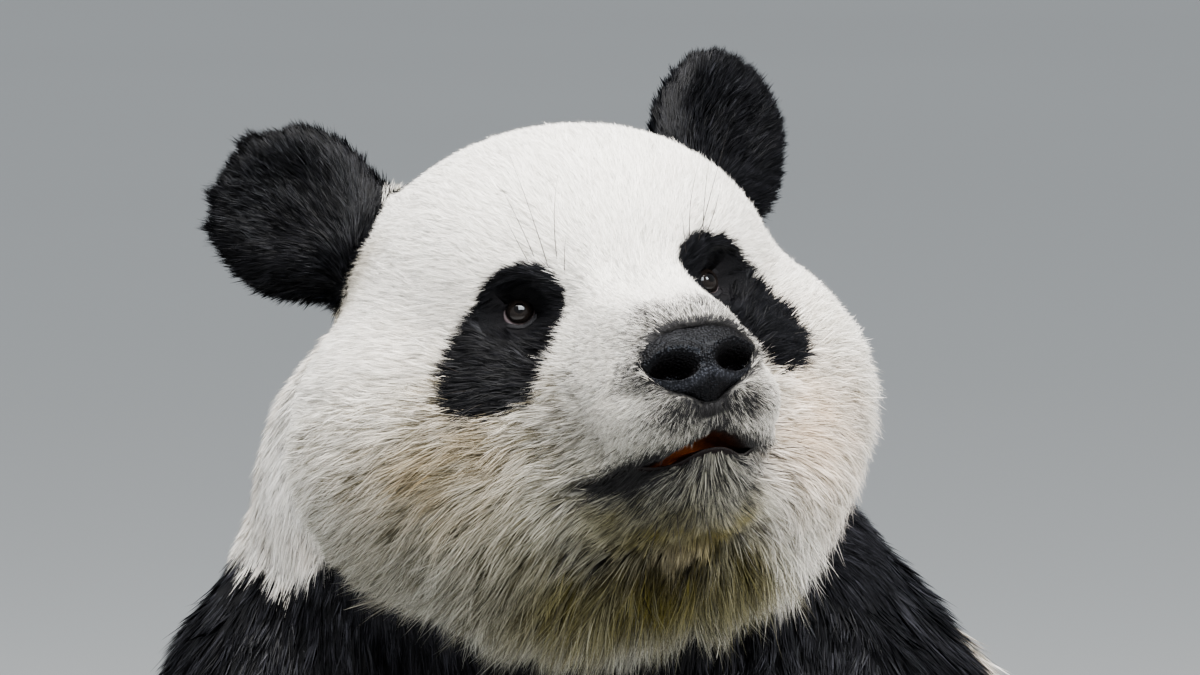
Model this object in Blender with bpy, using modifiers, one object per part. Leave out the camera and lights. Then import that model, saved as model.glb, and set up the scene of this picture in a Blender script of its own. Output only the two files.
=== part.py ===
"""A giant panda at life size, sitting upright with its head raised and turned to its left.

Metres, +Z up. The panda faces -Y, its left side is +X, and it sits on the plane z = 0 with the origin under
its rump. Each group of flesh is a list of masses (balls and tapered limbs) that one smooth field blends
together, out to the tips of the coat. Neighbouring solids stop GAP short of each other.
"""

import math

import bmesh
import bpy
import numpy as np
from mathutils import Euler, Matrix, Vector

NAME = "giant_panda"
GAP = 0.0003
FLOOR = 0.0

# Sizes of the voxels that join masses, and how far their surfaces run together.
VOXEL = 0.009
LIMB_VOXEL = 0.007
HEAD_VOXEL = 0.006
EAR_VOXEL = 0.005
NOSE_VOXEL = 0.0035
BLEND = 0.012
FINE_BLEND = 0.007
NOSE_BLEND = 0.004

# The head: the point midway between the eyes, and how the head is held.
MID_EYE = Vector((0.085, -0.365, 0.905))
HEAD_YAW = math.radians(32.0)
HEAD_PITCH = math.radians(14.7)
HEAD_ROLL = math.radians(7.1)

# The head's own sizes, from MID_EYE.
EYE_SPREAD = 0.0571
EYE_RADIUS = 0.0130
EYE_DEPTH = 0.010
EYE_OUTWARD = math.radians(24.0)
LIDS_INNER_RADIUS = 0.0105
LIDS_OUTER_RADIUS = 0.0240
LIDS_DEPTH = 0.040
LIDS_FLATNESS = 0.74
EAR_RADIUS = 0.056
EAR_THICKNESS = 0.036
EAR_CENTRE = (0.139, -0.135, 0.100)
EAR_OUTWARD = math.radians(24.0)
EAR_LEAN = math.radians(38.0)
NOSE_CENTRE = (0.0, 0.119, -0.0585)
NOSE_SIZE = (0.036, 0.021, 0.0255)
NOSE_TILT = math.radians(12.0)
MOUTH_CENTRE = (0.0, 0.060, -0.1090)
MOUTH_SIZE = (0.058, 0.052, 0.0075)
MOUTH_TILT = math.radians(9.0)

# The planes that part the trunk into abdomen, chest and neck.
CHEST_FLOOR = Vector((0.0, -0.100, 0.470))
NECK_FLOOR = Vector((0.0, -0.100, 0.740))
NECK_SLOPE = Vector((0.0, -0.30, 0.95))

# The skeleton of the left side; the right side is its mirror image.
SHOULDER = Vector((0.140, -0.180, 0.630))
ELBOW = Vector((0.220, -0.400, 0.405))
WRIST = Vector((0.112, -0.532, 0.110))
PAW = Vector((0.102, -0.585, 0.040))
HIP = Vector((0.165, -0.105, 0.160))
KNEE = Vector((0.350, -0.365, 0.146))
ANKLE = Vector((0.336, -0.585, 0.078))
SOLE = Vector((0.346, -0.632, 0.115))
TAIL_ROOT = Vector((0.0, 0.185, 0.085))
TAIL_TIP = Vector((0.0, 0.240, 0.043))

TOES = 5
PAW_TOE_RADIUS = 0.0215
FOOT_TOE_RADIUS = 0.0200
CLAW_LENGTH = 0.034
CLAW_RADIUS = 0.0058
FOOT_TILT = math.radians(14.0)

# Triangles left on each group of solids.
HEAD_FACES = 1450
TRUNK_FACES = 1200
ARM_FACES = 560
LEG_FACES = 600
EAR_FACES = 190
TAIL_FACES = 90
NOSE_FACES = 180

# Rounds of smoothing that take the bulges out of the trunk.
TRUNK_EVENING = 30

WHITE = (0.83, 0.80, 0.74)
BLACK = (0.018, 0.018, 0.020)
NOSE_BLACK = (0.020, 0.019, 0.021)
TONGUE_PINK = (0.55, 0.24, 0.17)
EYE_BROWN = (0.030, 0.018, 0.012)
HORN = (0.075, 0.062, 0.050)


# ---------------------------------------------------------------- frames

def head_frame():
    """The head's frame: +X to its left, -Y out of its face, +Z through its crown."""
    turn = (
        Matrix.Rotation(HEAD_YAW, 4, "Z")
        @ Matrix.Rotation(-HEAD_PITCH, 4, "X")
        @ Matrix.Rotation(-HEAD_ROLL, 4, "Y")
    )
    return Matrix.Translation(MID_EYE) @ turn


HEAD = head_frame()


def in_head(side, forward, up):
    return HEAD @ Vector((side, -forward, up))


def mirrored(point, side):
    return Vector((point[0] * side, point[1], point[2]))


# ---------------------------------------------------------------- masses and their field

def ball(centre, radii, turn=None):
    """An ellipsoid with its centre, its three half sizes and the matrix that turns it."""
    turn = Matrix.Identity(3) if turn is None else turn.to_3x3()
    return {"centre": Vector(centre), "radii": Vector(radii), "turn": turn}


def limb(start, end, start_radius, end_radius):
    """A tapered limb with round ends."""
    return {"start": Vector(start), "end": Vector(end), "radii": (start_radius, end_radius)}


def head_ball(side, forward, up, radii, pitch=0.0, yaw=0.0):
    """A ball in the head's frame. Its radii run along side, forward and up."""
    turn = HEAD.to_3x3() @ Euler((pitch, 0.0, yaw)).to_matrix()
    return ball(in_head(side, forward, up), radii, turn)


def head_limb(start, end, start_radius, end_radius):
    return limb(in_head(*start), in_head(*end), start_radius, end_radius)


def distance(points, mass):
    """The distance of each point from the mass's surface, negative inside."""
    if "centre" in mass:
        local = (points - np.array(mass["centre"])) @ np.array(mass["turn"])
        radii = np.array(mass["radii"])
        scaled = np.linalg.norm(local / radii, axis=1)
        slope = np.linalg.norm(local / radii**2, axis=1)
        return scaled * (scaled - 1.0) / np.maximum(slope, 1e-9)
    start = np.array(mass["start"])
    along = np.array(mass["end"]) - start
    reach = np.clip((points - start) @ along / (along @ along), 0.0, 1.0)
    first, last = mass["radii"]
    radius = first + (last - first) * reach
    return np.linalg.norm(points - start - reach[:, None] * along, axis=1) - radius


def field(points, masses, blend):
    """The blended distance: masses nearer to each other than about blend run together."""
    distances = np.stack([distance(points, mass) for mass in masses])
    nearest = distances.min(axis=0)
    total = np.exp(np.clip((nearest - distances) / blend, -40.0, 0.0)).sum(axis=0)
    return nearest - blend * np.log(total)


def settle(points, masses, blend, rounds=5, step=0.0008):
    """Moves points along the field's slope until they lie on its surface."""
    for _ in range(rounds):
        value = field(points, masses, blend)
        slope = np.empty_like(points)
        for axis in range(3):
            shift = np.zeros(3)
            shift[axis] = step
            ahead = field(points + shift, masses, blend)
            slope[:, axis] = (ahead - value) / step
        size = np.maximum((slope**2).sum(axis=1), 0.2)
        points = points - slope * np.clip(value, -0.02, 0.02)[:, None] / size[:, None]
    return points


# ---------------------------------------------------------------- Blender helpers

def clear_scene():
    for thing in list(bpy.data.objects):
        bpy.data.objects.remove(thing)


def collection(name):
    made = bpy.data.collections.new(name)
    bpy.context.scene.collection.children.link(made)
    return made


def material(name, colour, roughness):
    made = bpy.data.materials.new(name)
    made.use_nodes = True
    shader = made.node_tree.nodes["Principled BSDF"]
    shader.inputs["Base Color"].default_value = (*colour, 1.0)
    shader.inputs["Roughness"].default_value = roughness
    shader.inputs["Metallic"].default_value = 0.0
    made.diffuse_color = (*colour, 1.0)
    return made


def to_object(bm, name, home):
    mesh = bpy.data.meshes.new(name)
    bm.to_mesh(mesh)
    bm.free()
    made = bpy.data.objects.new(name, mesh)
    home.objects.link(made)
    return made


def apply_modifiers(thing):
    """Gives the object the mesh that its modifiers make of it."""
    graph = bpy.context.evaluated_depsgraph_get()
    mesh = bpy.data.meshes.new_from_object(thing.evaluated_get(graph))
    thing.modifiers.clear()
    old = thing.data
    thing.data = mesh
    bpy.data.meshes.remove(old)
    return thing


def add_sphere(bm, matrix, segments=20, rings=12):
    bmesh.ops.create_uvsphere(bm, u_segments=segments, v_segments=rings, radius=1.0, matrix=matrix)


def add_mass(bm, mass):
    """Adds one rough closed shape of the mass, for the voxel remesh to join with its neighbours."""
    if "centre" in mass:
        size = Matrix.Diagonal((*mass["radii"], 1.0))
        add_sphere(bm, Matrix.Translation(mass["centre"]) @ mass["turn"].to_4x4() @ size)
        return
    length = (mass["end"] - mass["start"]).length
    beads = max(2, math.ceil(length / (0.4 * min(mass["radii"]))) + 1)
    for index in range(beads):
        reach = index / (beads - 1)
        radius = mass["radii"][0] * (1.0 - reach) + mass["radii"][1] * reach
        centre = mass["start"].lerp(mass["end"], reach)
        add_sphere(bm, Matrix.Translation(centre) @ Matrix.Scale(radius, 4), 16, 10)


def flesh(name, masses, faces, blend, voxel, home, evening=2):
    """One closed surface round the masses, settled on their blended field and thinned to so many faces."""
    bm = bmesh.new()
    for mass in masses:
        add_mass(bm, mass)
    made = to_object(bm, name, home)
    remesh = made.modifiers.new("Join", "REMESH")
    remesh.mode = "VOXEL"
    remesh.voxel_size = voxel
    apply_modifiers(made)
    points = np.empty(len(made.data.vertices) * 3)
    made.data.vertices.foreach_get("co", points)
    points = settle(points.reshape(-1, 3), masses, blend)
    made.data.vertices.foreach_set("co", points.ravel())
    made.data.update()
    even = made.modifiers.new("Even", "SMOOTH")
    even.factor = 0.5
    even.iterations = evening
    triangles = 2 * len(made.data.polygons)
    thin = made.modifiers.new("Thin", "DECIMATE")
    thin.ratio = min(1.0, faces / triangles)
    thin.use_collapse_triangulate = True
    return apply_modifiers(made)


def grown(thing, amount, home):
    """A copy of the object swollen by the amount, to cut a neighbour with."""
    copy = bpy.data.objects.new(thing.name + "_cutter", thing.data.copy())
    home.objects.link(copy)
    for vertex in copy.data.vertices:
        vertex.co += vertex.normal * amount
    copy.hide_render = True
    copy.display_type = "WIRE"
    return copy


def cut(thing, cutter):
    """Takes the cutter out of the object, and keeps the largest body that is left."""
    boolean = thing.modifiers.new("Cut", "BOOLEAN")
    boolean.operation = "DIFFERENCE"
    boolean.solver = "EXACT"
    boolean.object = cutter
    apply_modifiers(thing)
    keep_largest(thing)
    return thing


def bodies_of(bm):
    """The separate bodies of a mesh, each a list of its faces."""
    left = set(bm.faces)
    found = []
    while left:
        seed = left.pop()
        body = [seed]
        stack = [seed]
        while stack:
            face = stack.pop()
            for edge in face.edges:
                for other in edge.link_faces:
                    if other in left:
                        left.discard(other)
                        body.append(other)
                        stack.append(other)
        found.append(body)
    return found


def keep_largest(thing):
    bm = bmesh.new()
    bm.from_mesh(thing.data)
    found = sorted(bodies_of(bm), key=lambda body: sum(face.calc_area() for face in body))
    for body in found[:-1]:
        bmesh.ops.delete(bm, geom=body, context="FACES")
    bm.to_mesh(thing.data)
    bm.free()


def halved(bm, point, normal, above):
    """Keeps the side of a closed mesh above or below a plane, and closes the cut with a flat face."""
    whole = bm.verts[:] + bm.edges[:] + bm.faces[:]
    bmesh.ops.bisect_plane(
        bm,
        geom=whole,
        dist=1e-6,
        plane_co=point,
        plane_no=normal,
        clear_inner=above,
        clear_outer=not above,
    )
    rim = [edge for edge in bm.edges if edge.is_boundary]
    bmesh.ops.triangle_fill(bm, use_beauty=True, use_dissolve=False, edges=rim, normal=normal)
    bmesh.ops.recalc_face_normals(bm, faces=bm.faces[:])


def part(thing, name, point, normal, home):
    """Cuts the object at a plane. What lies on the normal's side becomes a new object with this name."""
    normal = Vector(normal).normalized()
    beyond = bmesh.new()
    beyond.from_mesh(thing.data)
    halved(beyond, Vector(point) + normal * GAP / 2, normal, True)
    new = to_object(beyond, name, home)
    behind = bmesh.new()
    behind.from_mesh(thing.data)
    halved(behind, Vector(point) - normal * GAP / 2, normal, False)
    behind.to_mesh(thing.data)
    behind.free()
    keep_largest(new)
    keep_largest(thing)
    return new


def flatten(thing):
    """Gives the object a flat where it would reach below the floor."""
    if min(vertex.co.z for vertex in thing.data.vertices) >= FLOOR:
        return
    bm = bmesh.new()
    bm.from_mesh(thing.data)
    halved(bm, Vector((0.0, 0.0, FLOOR)), Vector((0.0, 0.0, 1.0)), True)
    bm.to_mesh(thing.data)
    bm.free()


# ---------------------------------------------------------------- the trunk

def trunk_masses():
    masses = [
        ball((0.0, 0.005, 0.180), (0.245, 0.215, 0.195)),
        ball((0.0, -0.115, 0.275), (0.260, 0.232, 0.225)),
        ball((0.0, -0.035, 0.330), (0.258, 0.228, 0.180)),
        ball((0.0, -0.065, 0.440), (0.262, 0.234, 0.220)),
        ball((0.0, -0.070, 0.585), (0.276, 0.202, 0.195)),
        ball((0.0, -0.050, 0.665), (0.205, 0.155, 0.130)),
        ball((0.0, -0.130, 0.710), (0.206, 0.165, 0.115)),
        ball((-0.008, -0.200, 0.785), (0.174, 0.125, 0.128)),
        limb((0.0, -0.190, 0.815), (0.0, -0.075, 0.700), 0.126, 0.145),
    ]
    for side in (1, -1):
        masses.append(ball((side * 0.120, -0.140, 0.630), (0.105, 0.130, 0.120)))
        masses.append(ball((side * 0.148, -0.055, 0.165), (0.148, 0.175, 0.160)))
    return masses


def make_trunk(home):
    trunk = flesh("abdomen", trunk_masses(), TRUNK_FACES, BLEND, VOXEL, home, TRUNK_EVENING)
    flatten(trunk)
    return trunk


# ---------------------------------------------------------------- the head

def head_masses():
    """The skull, cheeks, muzzle and the ruff that hangs below the jaw, in the head's frame."""
    masses = [
        head_ball(0.0, -0.085, 0.020, (0.130, 0.118, 0.101)),
        head_ball(0.0, -0.028, 0.012, (0.084, 0.060, 0.062)),
        head_limb((0.0, 0.000, -0.048), (0.0, 0.080, -0.066), 0.064, 0.046),
        head_limb((0.0, 0.005, -0.112), (0.0, 0.070, -0.124), 0.046, 0.027),
        head_ball(0.0, -0.070, -0.118, (0.130, 0.105, 0.088)),
        head_ball(0.0, 0.004, -0.128, (0.072, 0.056, 0.046)),
        head_ball(0.0, 0.022, -0.146, (0.055, 0.052, 0.040)),
    ]
    for side in (1, -1):
        masses += [
            head_ball(side * 0.087, -0.098, -0.060, (0.098, 0.098, 0.098)),
            head_ball(side * 0.054, -0.026, -0.062, (0.066, 0.058, 0.060)),
            head_ball(side * 0.058, -0.050, -0.120, (0.084, 0.082, 0.074)),
            head_ball(side * 0.022, 0.086, -0.086, (0.031, 0.040, 0.024)),
        ]
    return masses


def socket_cutter(side, home):
    """An eye socket: a little larger than the eyeball, and opening forwards like the lids."""
    centre = eye_place(side)
    turn = HEAD.to_3x3().to_4x4() @ Matrix.Rotation(math.pi / 2, 4, "X")
    bm = bmesh.new()
    add_sphere(bm, Matrix.Translation(centre) @ turn @ Matrix.Scale(EYE_RADIUS + 2 * GAP, 4), 12, 8)
    ball_object = to_object(bm, "socket_ball_cutter", home)
    lids = bmesh.new()
    outward = Matrix.Rotation(side * EYE_OUTWARD, 4, "Z") @ Matrix.Rotation(math.pi / 2, 4, "X")
    bmesh.ops.create_cone(
        lids,
        cap_ends=True,
        segments=12,
        radius1=LIDS_INNER_RADIUS,
        radius2=LIDS_OUTER_RADIUS,
        depth=LIDS_DEPTH,
        matrix=Matrix.Translation(centre) @ HEAD.to_3x3().to_4x4() @ outward
        @ Matrix.Diagonal((1.0, LIDS_FLATNESS, 1.0, 1.0)) @ Matrix.Translation((0.0, 0.0, LIDS_DEPTH / 2)),
    )
    cone = to_object(lids, "socket_lids_cutter", home)
    join = ball_object.modifiers.new("Join", "BOOLEAN")
    join.operation = "UNION"
    join.solver = "EXACT"
    join.object = cone
    apply_modifiers(ball_object)
    for cutter in (ball_object, cone):
        cutter.hide_render = True
        cutter.display_type = "WIRE"
    return ball_object


def eye_place(side):
    return in_head(side * EYE_SPREAD, -EYE_DEPTH, 0.0)


def nose_masses():
    wide, deep, high = NOSE_SIZE
    centre = Vector(NOSE_CENTRE)
    return [
        head_ball(0.0, centre.y, centre.z + 0.004, (wide, deep, high * 0.72), NOSE_TILT),
        head_ball(0.0, centre.y + 0.002, centre.z - 0.008, (wide * 0.62, deep * 0.9, high * 0.72), NOSE_TILT),
    ]


def mouth_cutter(home):
    """The slightly open mouth, a thin lens between the lips."""
    bm = bmesh.new()
    side, forward, up = MOUTH_CENTRE
    size = Matrix.Diagonal((*MOUTH_SIZE, 1.0))
    turn = Matrix.Rotation(-MOUTH_TILT, 4, "X")
    add_sphere(bm, HEAD @ Matrix.Translation((side, -forward, up)) @ turn @ size, 18, 8)
    made = to_object(bm, "mouth_cutter", home)
    made.hide_render = True
    made.display_type = "WIRE"
    return made


# ---------------------------------------------------------------- ears, eyes, nose, tongue, tail

def ear_matrix(side):
    """The ear's frame: X along its width, -Y out of its hollow face, Z through its tip."""
    turn = Matrix.Rotation(side * EAR_OUTWARD, 4, "Z") @ Matrix.Rotation(side * EAR_LEAN, 4, "Y")
    lateral, forward, up = EAR_CENTRE
    return HEAD @ Matrix.Translation((side * lateral, -forward, up)) @ turn


def ear_masses(side):
    frame = ear_matrix(side)
    turn = frame.to_3x3()
    thick = EAR_THICKNESS / 2
    return [
        ball(frame.translation, (EAR_RADIUS, thick, EAR_RADIUS * 0.96), turn),
        ball(frame @ Vector((0.0, 0.002, -0.030)), (EAR_RADIUS * 0.80, thick * 1.25, 0.036), turn),
    ]


def make_ear(side, name, head_cutter, trunk_cutter, home):
    ear = flesh(name, ear_masses(side), EAR_FACES, FINE_BLEND, EAR_VOXEL, home)
    cut(ear, trunk_cutter)
    return cut(ear, head_cutter)


def make_eye(side, name, home):
    bm = bmesh.new()
    turn = HEAD.to_3x3().to_4x4() @ Matrix.Rotation(math.pi / 2, 4, "X")
    add_sphere(bm, Matrix.Translation(eye_place(side)) @ turn @ Matrix.Scale(EYE_RADIUS, 4), 12, 8)
    return to_object(bm, name, home)


def make_tongue(home):
    """The tongue, low in the open mouth and clear of both lips."""
    side, forward, up = MOUTH_CENTRE
    bm = bmesh.new()
    size = Matrix.Diagonal((MOUTH_SIZE[0] * 0.58, MOUTH_SIZE[1] * 0.70, MOUTH_SIZE[2] * 0.52, 1.0))
    turn = Matrix.Rotation(-MOUTH_TILT, 4, "X")
    add_sphere(bm, HEAD @ Matrix.Translation((side, -forward + 0.004, up - 0.0015)) @ turn @ size, 12, 6)
    return to_object(bm, "tongue", home)


def make_tail(trunk_cutter, home):
    masses = [ball(TAIL_ROOT, (0.064, 0.075, 0.062)), ball(TAIL_TIP, (0.055, 0.062, 0.046))]
    tail = flesh("tail", masses, TAIL_FACES, BLEND, VOXEL, home)
    flatten(tail)
    return cut(tail, trunk_cutter)


# ---------------------------------------------------------------- limbs and paws

def toe_places(side, centre, across, out, spread):
    """Where the toes sit along an arc in front of a paw, each with the direction that it points in."""
    places = []
    for toe in range(TOES):
        turn = (toe - (TOES - 1) / 2) / ((TOES - 1) / 2)
        angle = turn * spread
        direction = (out * math.cos(angle) + across * math.sin(angle)).normalized()
        place = centre + across * (turn * 0.050) + out * (0.064 * math.cos(turn * 0.75))
        places.append((place, direction))
    return places


def paw_toes(side):
    out = mirrored((-0.10, -0.99, 0.0), side).normalized()
    across = out.cross(Vector((0.0, 0.0, 1.0))) * -side
    centre = mirrored(PAW, side) + Vector((0.0, 0.0, -0.014))
    return toe_places(side, centre, across, out, math.radians(16.0))


def foot_toes(side):
    out = mirrored((0.10, -math.sin(FOOT_TILT), math.cos(FOOT_TILT)), side).normalized()
    across = Vector((side, 0.0, 0.0))
    across = (across - out * across.dot(out)).normalized()
    centre = mirrored(SOLE, side) + Vector((0.0, -0.004, 0.006))
    return toe_places(side, centre, across, out, math.radians(14.0))


def arm_masses(side):
    shoulder, elbow, wrist, paw = (mirrored(point, side) for point in (SHOULDER, ELBOW, WRIST, PAW))
    fore = elbow.lerp(wrist, 0.28)
    masses = [
        ball(shoulder, (0.086, 0.105, 0.110)),
        limb(shoulder, elbow, 0.100, 0.088),
        limb(elbow, fore, 0.088, 0.086),
        limb(fore, wrist, 0.086, 0.066),
        limb(wrist, paw, 0.062, 0.046),
        ball(paw + Vector((0.0, 0.010, -0.004)), (0.060, 0.068, 0.042)),
    ]
    for place, _ in paw_toes(side):
        masses.append(ball(place, (PAW_TOE_RADIUS,) * 3))
    return masses


def leg_masses(side):
    hip, knee, ankle, sole = (mirrored(point, side) for point in (HIP, KNEE, ANKLE, SOLE))
    calf = knee.lerp(ankle, 0.35)
    tilt = Euler((FOOT_TILT, 0.0, 0.0)).to_matrix()
    masses = [
        limb(hip, knee, 0.142, 0.110),
        limb(knee, calf, 0.110, 0.096),
        limb(calf, ankle, 0.096, 0.072),
        ball(sole, (0.060, 0.042, 0.085), tilt),
        ball(ankle + Vector((0.0, -0.022, -0.024)), (0.056, 0.050, 0.056)),
    ]
    for place, _ in foot_toes(side):
        masses.append(ball(place, (FOOT_TOE_RADIUS,) * 3))
    return masses


def make_arm(side, label, trunk_cutter, home):
    """Upper arm, forearm and forepaw, cut at the elbow and the wrist."""
    elbow, wrist, shoulder, paw = (mirrored(point, side) for point in (ELBOW, WRIST, SHOULDER, PAW))
    upper = flesh("upper_arm_" + label, arm_masses(side), ARM_FACES, BLEND, LIMB_VOXEL, home)
    flatten(upper)
    cut(upper, trunk_cutter)
    bend = ((elbow - shoulder).normalized() + (wrist - elbow).normalized()).normalized()
    fore = part(upper, "forearm_" + label, elbow, bend, home)
    down = (wrist.lerp(paw, 0.5) - elbow).normalized()
    hand = part(fore, "forepaw_" + label, wrist.lerp(paw, 0.25), down, home)
    return upper, fore, hand


def make_leg(side, label, trunk_cutter, home):
    """Thigh, shin and hind foot, cut at the knee and the ankle."""
    hip, knee, ankle = (mirrored(point, side) for point in (HIP, KNEE, ANKLE))
    thigh = flesh("thigh_" + label, leg_masses(side), LEG_FACES, BLEND, LIMB_VOXEL, home)
    flatten(thigh)
    cut(thigh, trunk_cutter)
    bend = ((knee - hip).normalized() + (ankle - knee).normalized()).normalized()
    shin = part(thigh, "shin_" + label, knee, bend, home)
    foot = part(shin, "hind_foot_" + label, knee.lerp(ankle, 0.86), (ankle - knee).normalized(), home)
    return thigh, shin, foot


def claw(name, place, direction, drop, home):
    """A curved claw: a chain of rings that narrow to a blunt tip and bend towards drop."""
    rings = 4
    sides = 5
    bm = bmesh.new()
    across = direction.cross(drop).normalized()
    previous = None
    for ring in range(rings):
        reach = ring / (rings - 1)
        centre = place + direction * (CLAW_LENGTH * reach) + drop * (CLAW_LENGTH * 0.34 * reach**2)
        heading = (direction + drop * (0.68 * reach)).normalized()
        lift = across.cross(heading)
        radius = CLAW_RADIUS * (1.0 - 0.80 * reach**1.4)
        loop = []
        for corner in range(sides):
            angle = math.tau * corner / sides
            offset = across * (math.cos(angle) * 0.8) + lift * math.sin(angle)
            loop.append(bm.verts.new(centre + offset * radius))
        if previous is None:
            bm.faces.new(loop)
        else:
            for corner in range(sides):
                near, far = corner, (corner + 1) % sides
                bm.faces.new((previous[near], previous[far], loop[far], loop[near]))
        previous = loop
    bm.faces.new(previous)
    bmesh.ops.recalc_face_normals(bm, faces=bm.faces[:])
    return to_object(bm, name, home)


def make_claws(toes, paw, label, drop, radius, home, cutters):
    """One claw on each toe, starting inside the toe and cut clear of it."""
    holder = grown(paw, GAP, cutters)
    made = []
    for index, (place, direction) in enumerate(toes, 1):
        root = place + direction * (radius * 0.70) - drop * 0.004
        spike = claw(f"claw_{label}_{index}", root, direction, drop, home)
        made.append(cut(spike, holder))
    return made


# ---------------------------------------------------------------- assembly

def dress(objects, finish):
    for thing in objects:
        thing.data.materials.clear()
        thing.data.materials.append(finish)
        thing.data.shade_smooth()
        thing.data.set_sharp_from_angle(angle=math.radians(40.0))


def build():
    clear_scene()
    home = collection(NAME)
    cutters = collection("cutters")

    trunk = make_trunk(home)
    trunk_cutter = grown(trunk, GAP, cutters)
    head = flesh("head", head_masses(), HEAD_FACES, FINE_BLEND, HEAD_VOXEL, home)
    cut(head, trunk_cutter)
    head_cutter = grown(head, GAP, cutters)
    ears = [
        make_ear(side, "ear_" + label, head_cutter, trunk_cutter, home)
        for side, label in ((1, "left"), (-1, "right"))
    ]

    nose = flesh("nose", nose_masses(), NOSE_FACES, NOSE_BLEND, NOSE_VOXEL, home)
    nose_cutter = grown(nose, GAP, cutters)
    cut(head, nose_cutter)
    for side in (1, -1):
        cut(head, socket_cutter(side, cutters))
    cut(head, mouth_cutter(cutters))
    eyes = [make_eye(side, "eye_" + label, home) for side, label in ((1, "left"), (-1, "right"))]
    tongue = make_tongue(home)

    claws = []
    blacks = list(ears)
    for side, label in ((1, "left"), (-1, "right")):
        upper, fore, hand = make_arm(side, label, trunk_cutter, home)
        thigh, shin, foot = make_leg(side, label, trunk_cutter, home)
        blacks += [upper, fore, hand, thigh, shin, foot]
        down = Vector((0.0, 0.0, -1.0))
        forward = Vector((0.0, -1.0, 0.0))
        claws += make_claws(paw_toes(side), hand, "fore_" + label, down, PAW_TOE_RADIUS, home, cutters)
        claws += make_claws(foot_toes(side), foot, "hind_" + label, forward, FOOT_TOE_RADIUS, home, cutters)
    tail = make_tail(trunk_cutter, home)

    chest = part(trunk, "chest", CHEST_FLOOR, (0.0, 0.0, 1.0), home)
    neck = part(chest, "neck", NECK_FLOOR, NECK_SLOPE, home)

    dress([trunk, head, neck, tail], material("white_coat", WHITE, 0.85))
    dress(blacks + [chest], material("black_coat", BLACK, 0.75))
    dress([nose], material("nose_leather", NOSE_BLACK, 0.45))
    dress(eyes, material("eye", EYE_BROWN, 0.10))
    dress([tongue], material("tongue", TONGUE_PINK, 0.40))
    dress(claws, material("claw_horn", HORN, 0.40))


build()
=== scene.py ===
"""A giant panda as a still, life-size model.

One skin stands for all the nodes of flesh. It lies inside them by the depth of the coat, and carries the
lids, lips, mouth, ears and folds. The coat is many thin mesh tufts that are rooted in the skin, follow the
lie of the hair and have the same markings. Eyes, nose pad, tongue, claws and long hairs are pieces of
their own.
"""

import math
from types import SimpleNamespace

import bmesh
import bpy
import numpy as np
from mathutils import Matrix, Vector
from mathutils.bvhtree import BVHTree
from mathutils.kdtree import KDTree


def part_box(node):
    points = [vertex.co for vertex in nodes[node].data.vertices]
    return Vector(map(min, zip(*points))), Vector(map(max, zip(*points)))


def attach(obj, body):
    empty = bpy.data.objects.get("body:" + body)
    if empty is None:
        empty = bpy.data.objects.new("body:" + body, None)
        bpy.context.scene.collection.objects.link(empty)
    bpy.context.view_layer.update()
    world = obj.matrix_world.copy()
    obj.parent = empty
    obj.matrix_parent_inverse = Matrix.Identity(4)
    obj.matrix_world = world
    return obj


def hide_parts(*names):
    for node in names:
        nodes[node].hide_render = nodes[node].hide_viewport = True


# ---- camera
CAMERA_AZIMUTH = math.radians(12.0)
CAMERA_ELEVATION = math.radians(5.0)
CAMERA_DISTANCE = 6.0
FRAME_WIDTH = 0.715
AIM_RIGHT = -0.0088
AIM_UP = -0.0238
SENSOR = 36.0

# ---- head frame
HEAD_YAW = math.radians(32.0)
HEAD_PITCH = math.radians(14.7)
HEAD_ROLL = math.radians(7.1)
EYE_RADIUS = 0.0130
EYE_DEPTH = 0.010
EYE_OUTWARD = math.radians(24.0)
EAR_CENTRE = np.array((0.139, -0.135, 0.100))
EAR_OUTWARD = math.radians(24.0)
EAR_LEAN = math.radians(38.0)
EAR_RADIUS = 0.056
EAR_CUP = 0.040
EAR_CUP_DEPTH = 0.0100
LEFT_EAR_RISE = 0.012
MOUTH_CENTRE = (0.0, 0.060, -0.1090)
MOUTH_SIZE = (0.058, 0.052, 0.0075)
NOSE_TILT = math.radians(12.0)

# ---- skin
VOXEL = 0.0060
SKIN_SMOOTHING = 30
FINE_SMOOTHING = 8
LIE_SMOOTHING = 30
INSET_STEPS = 6
FIELD_SMOOTHING = 14
LID_THICKNESS = 0.0021
LID_WIDE = math.radians(59.0)
LID_HIGH = math.radians(37.0)
LID_LOW = math.radians(36.0)
LID_BLEND = (math.radians(66.0), math.radians(88.0))
LID_RISE = 0.06
LID_SLANT = 0.10
LID_REACH = 0.030
EYE_HOLLOW = 0.0035
EYE_CORNER = np.array((0.039, 0.027, -0.001))
NOSE_RIDGE = ((0.018, 0.100, -0.034), (0.026, 0.040, -0.002))
SOCKET_PLUG = (0.0165, 0.0165, 0.0165)
SOCKET_BACK = 0.006
MOUTH_PLUG = (MOUTH_SIZE[0] * 1.02, MOUTH_SIZE[1] * 0.97, MOUTH_SIZE[2] + 0.003)
MOUTH_TILT = math.radians(-9.0)
SKIN_ABOVE_FLOOR = 0.0015
FLOOR_CLEAR = 0.0006

# ---- colours: linear red, green and blue
WHITE = np.array((0.83, 0.805, 0.762))
CREAM = np.array((0.72, 0.55, 0.36))
TAN = np.array((0.38, 0.275, 0.120))
PINK = np.array((0.76, 0.57, 0.42))
OLIVE = np.array((0.225, 0.188, 0.020))
# CHEEK_SHADE is painted shade: it darkens the white coat on the lower right cheek and under the chin.
CHEEK_SHADE = np.array((0.55, 0.56, 0.53))
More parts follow.
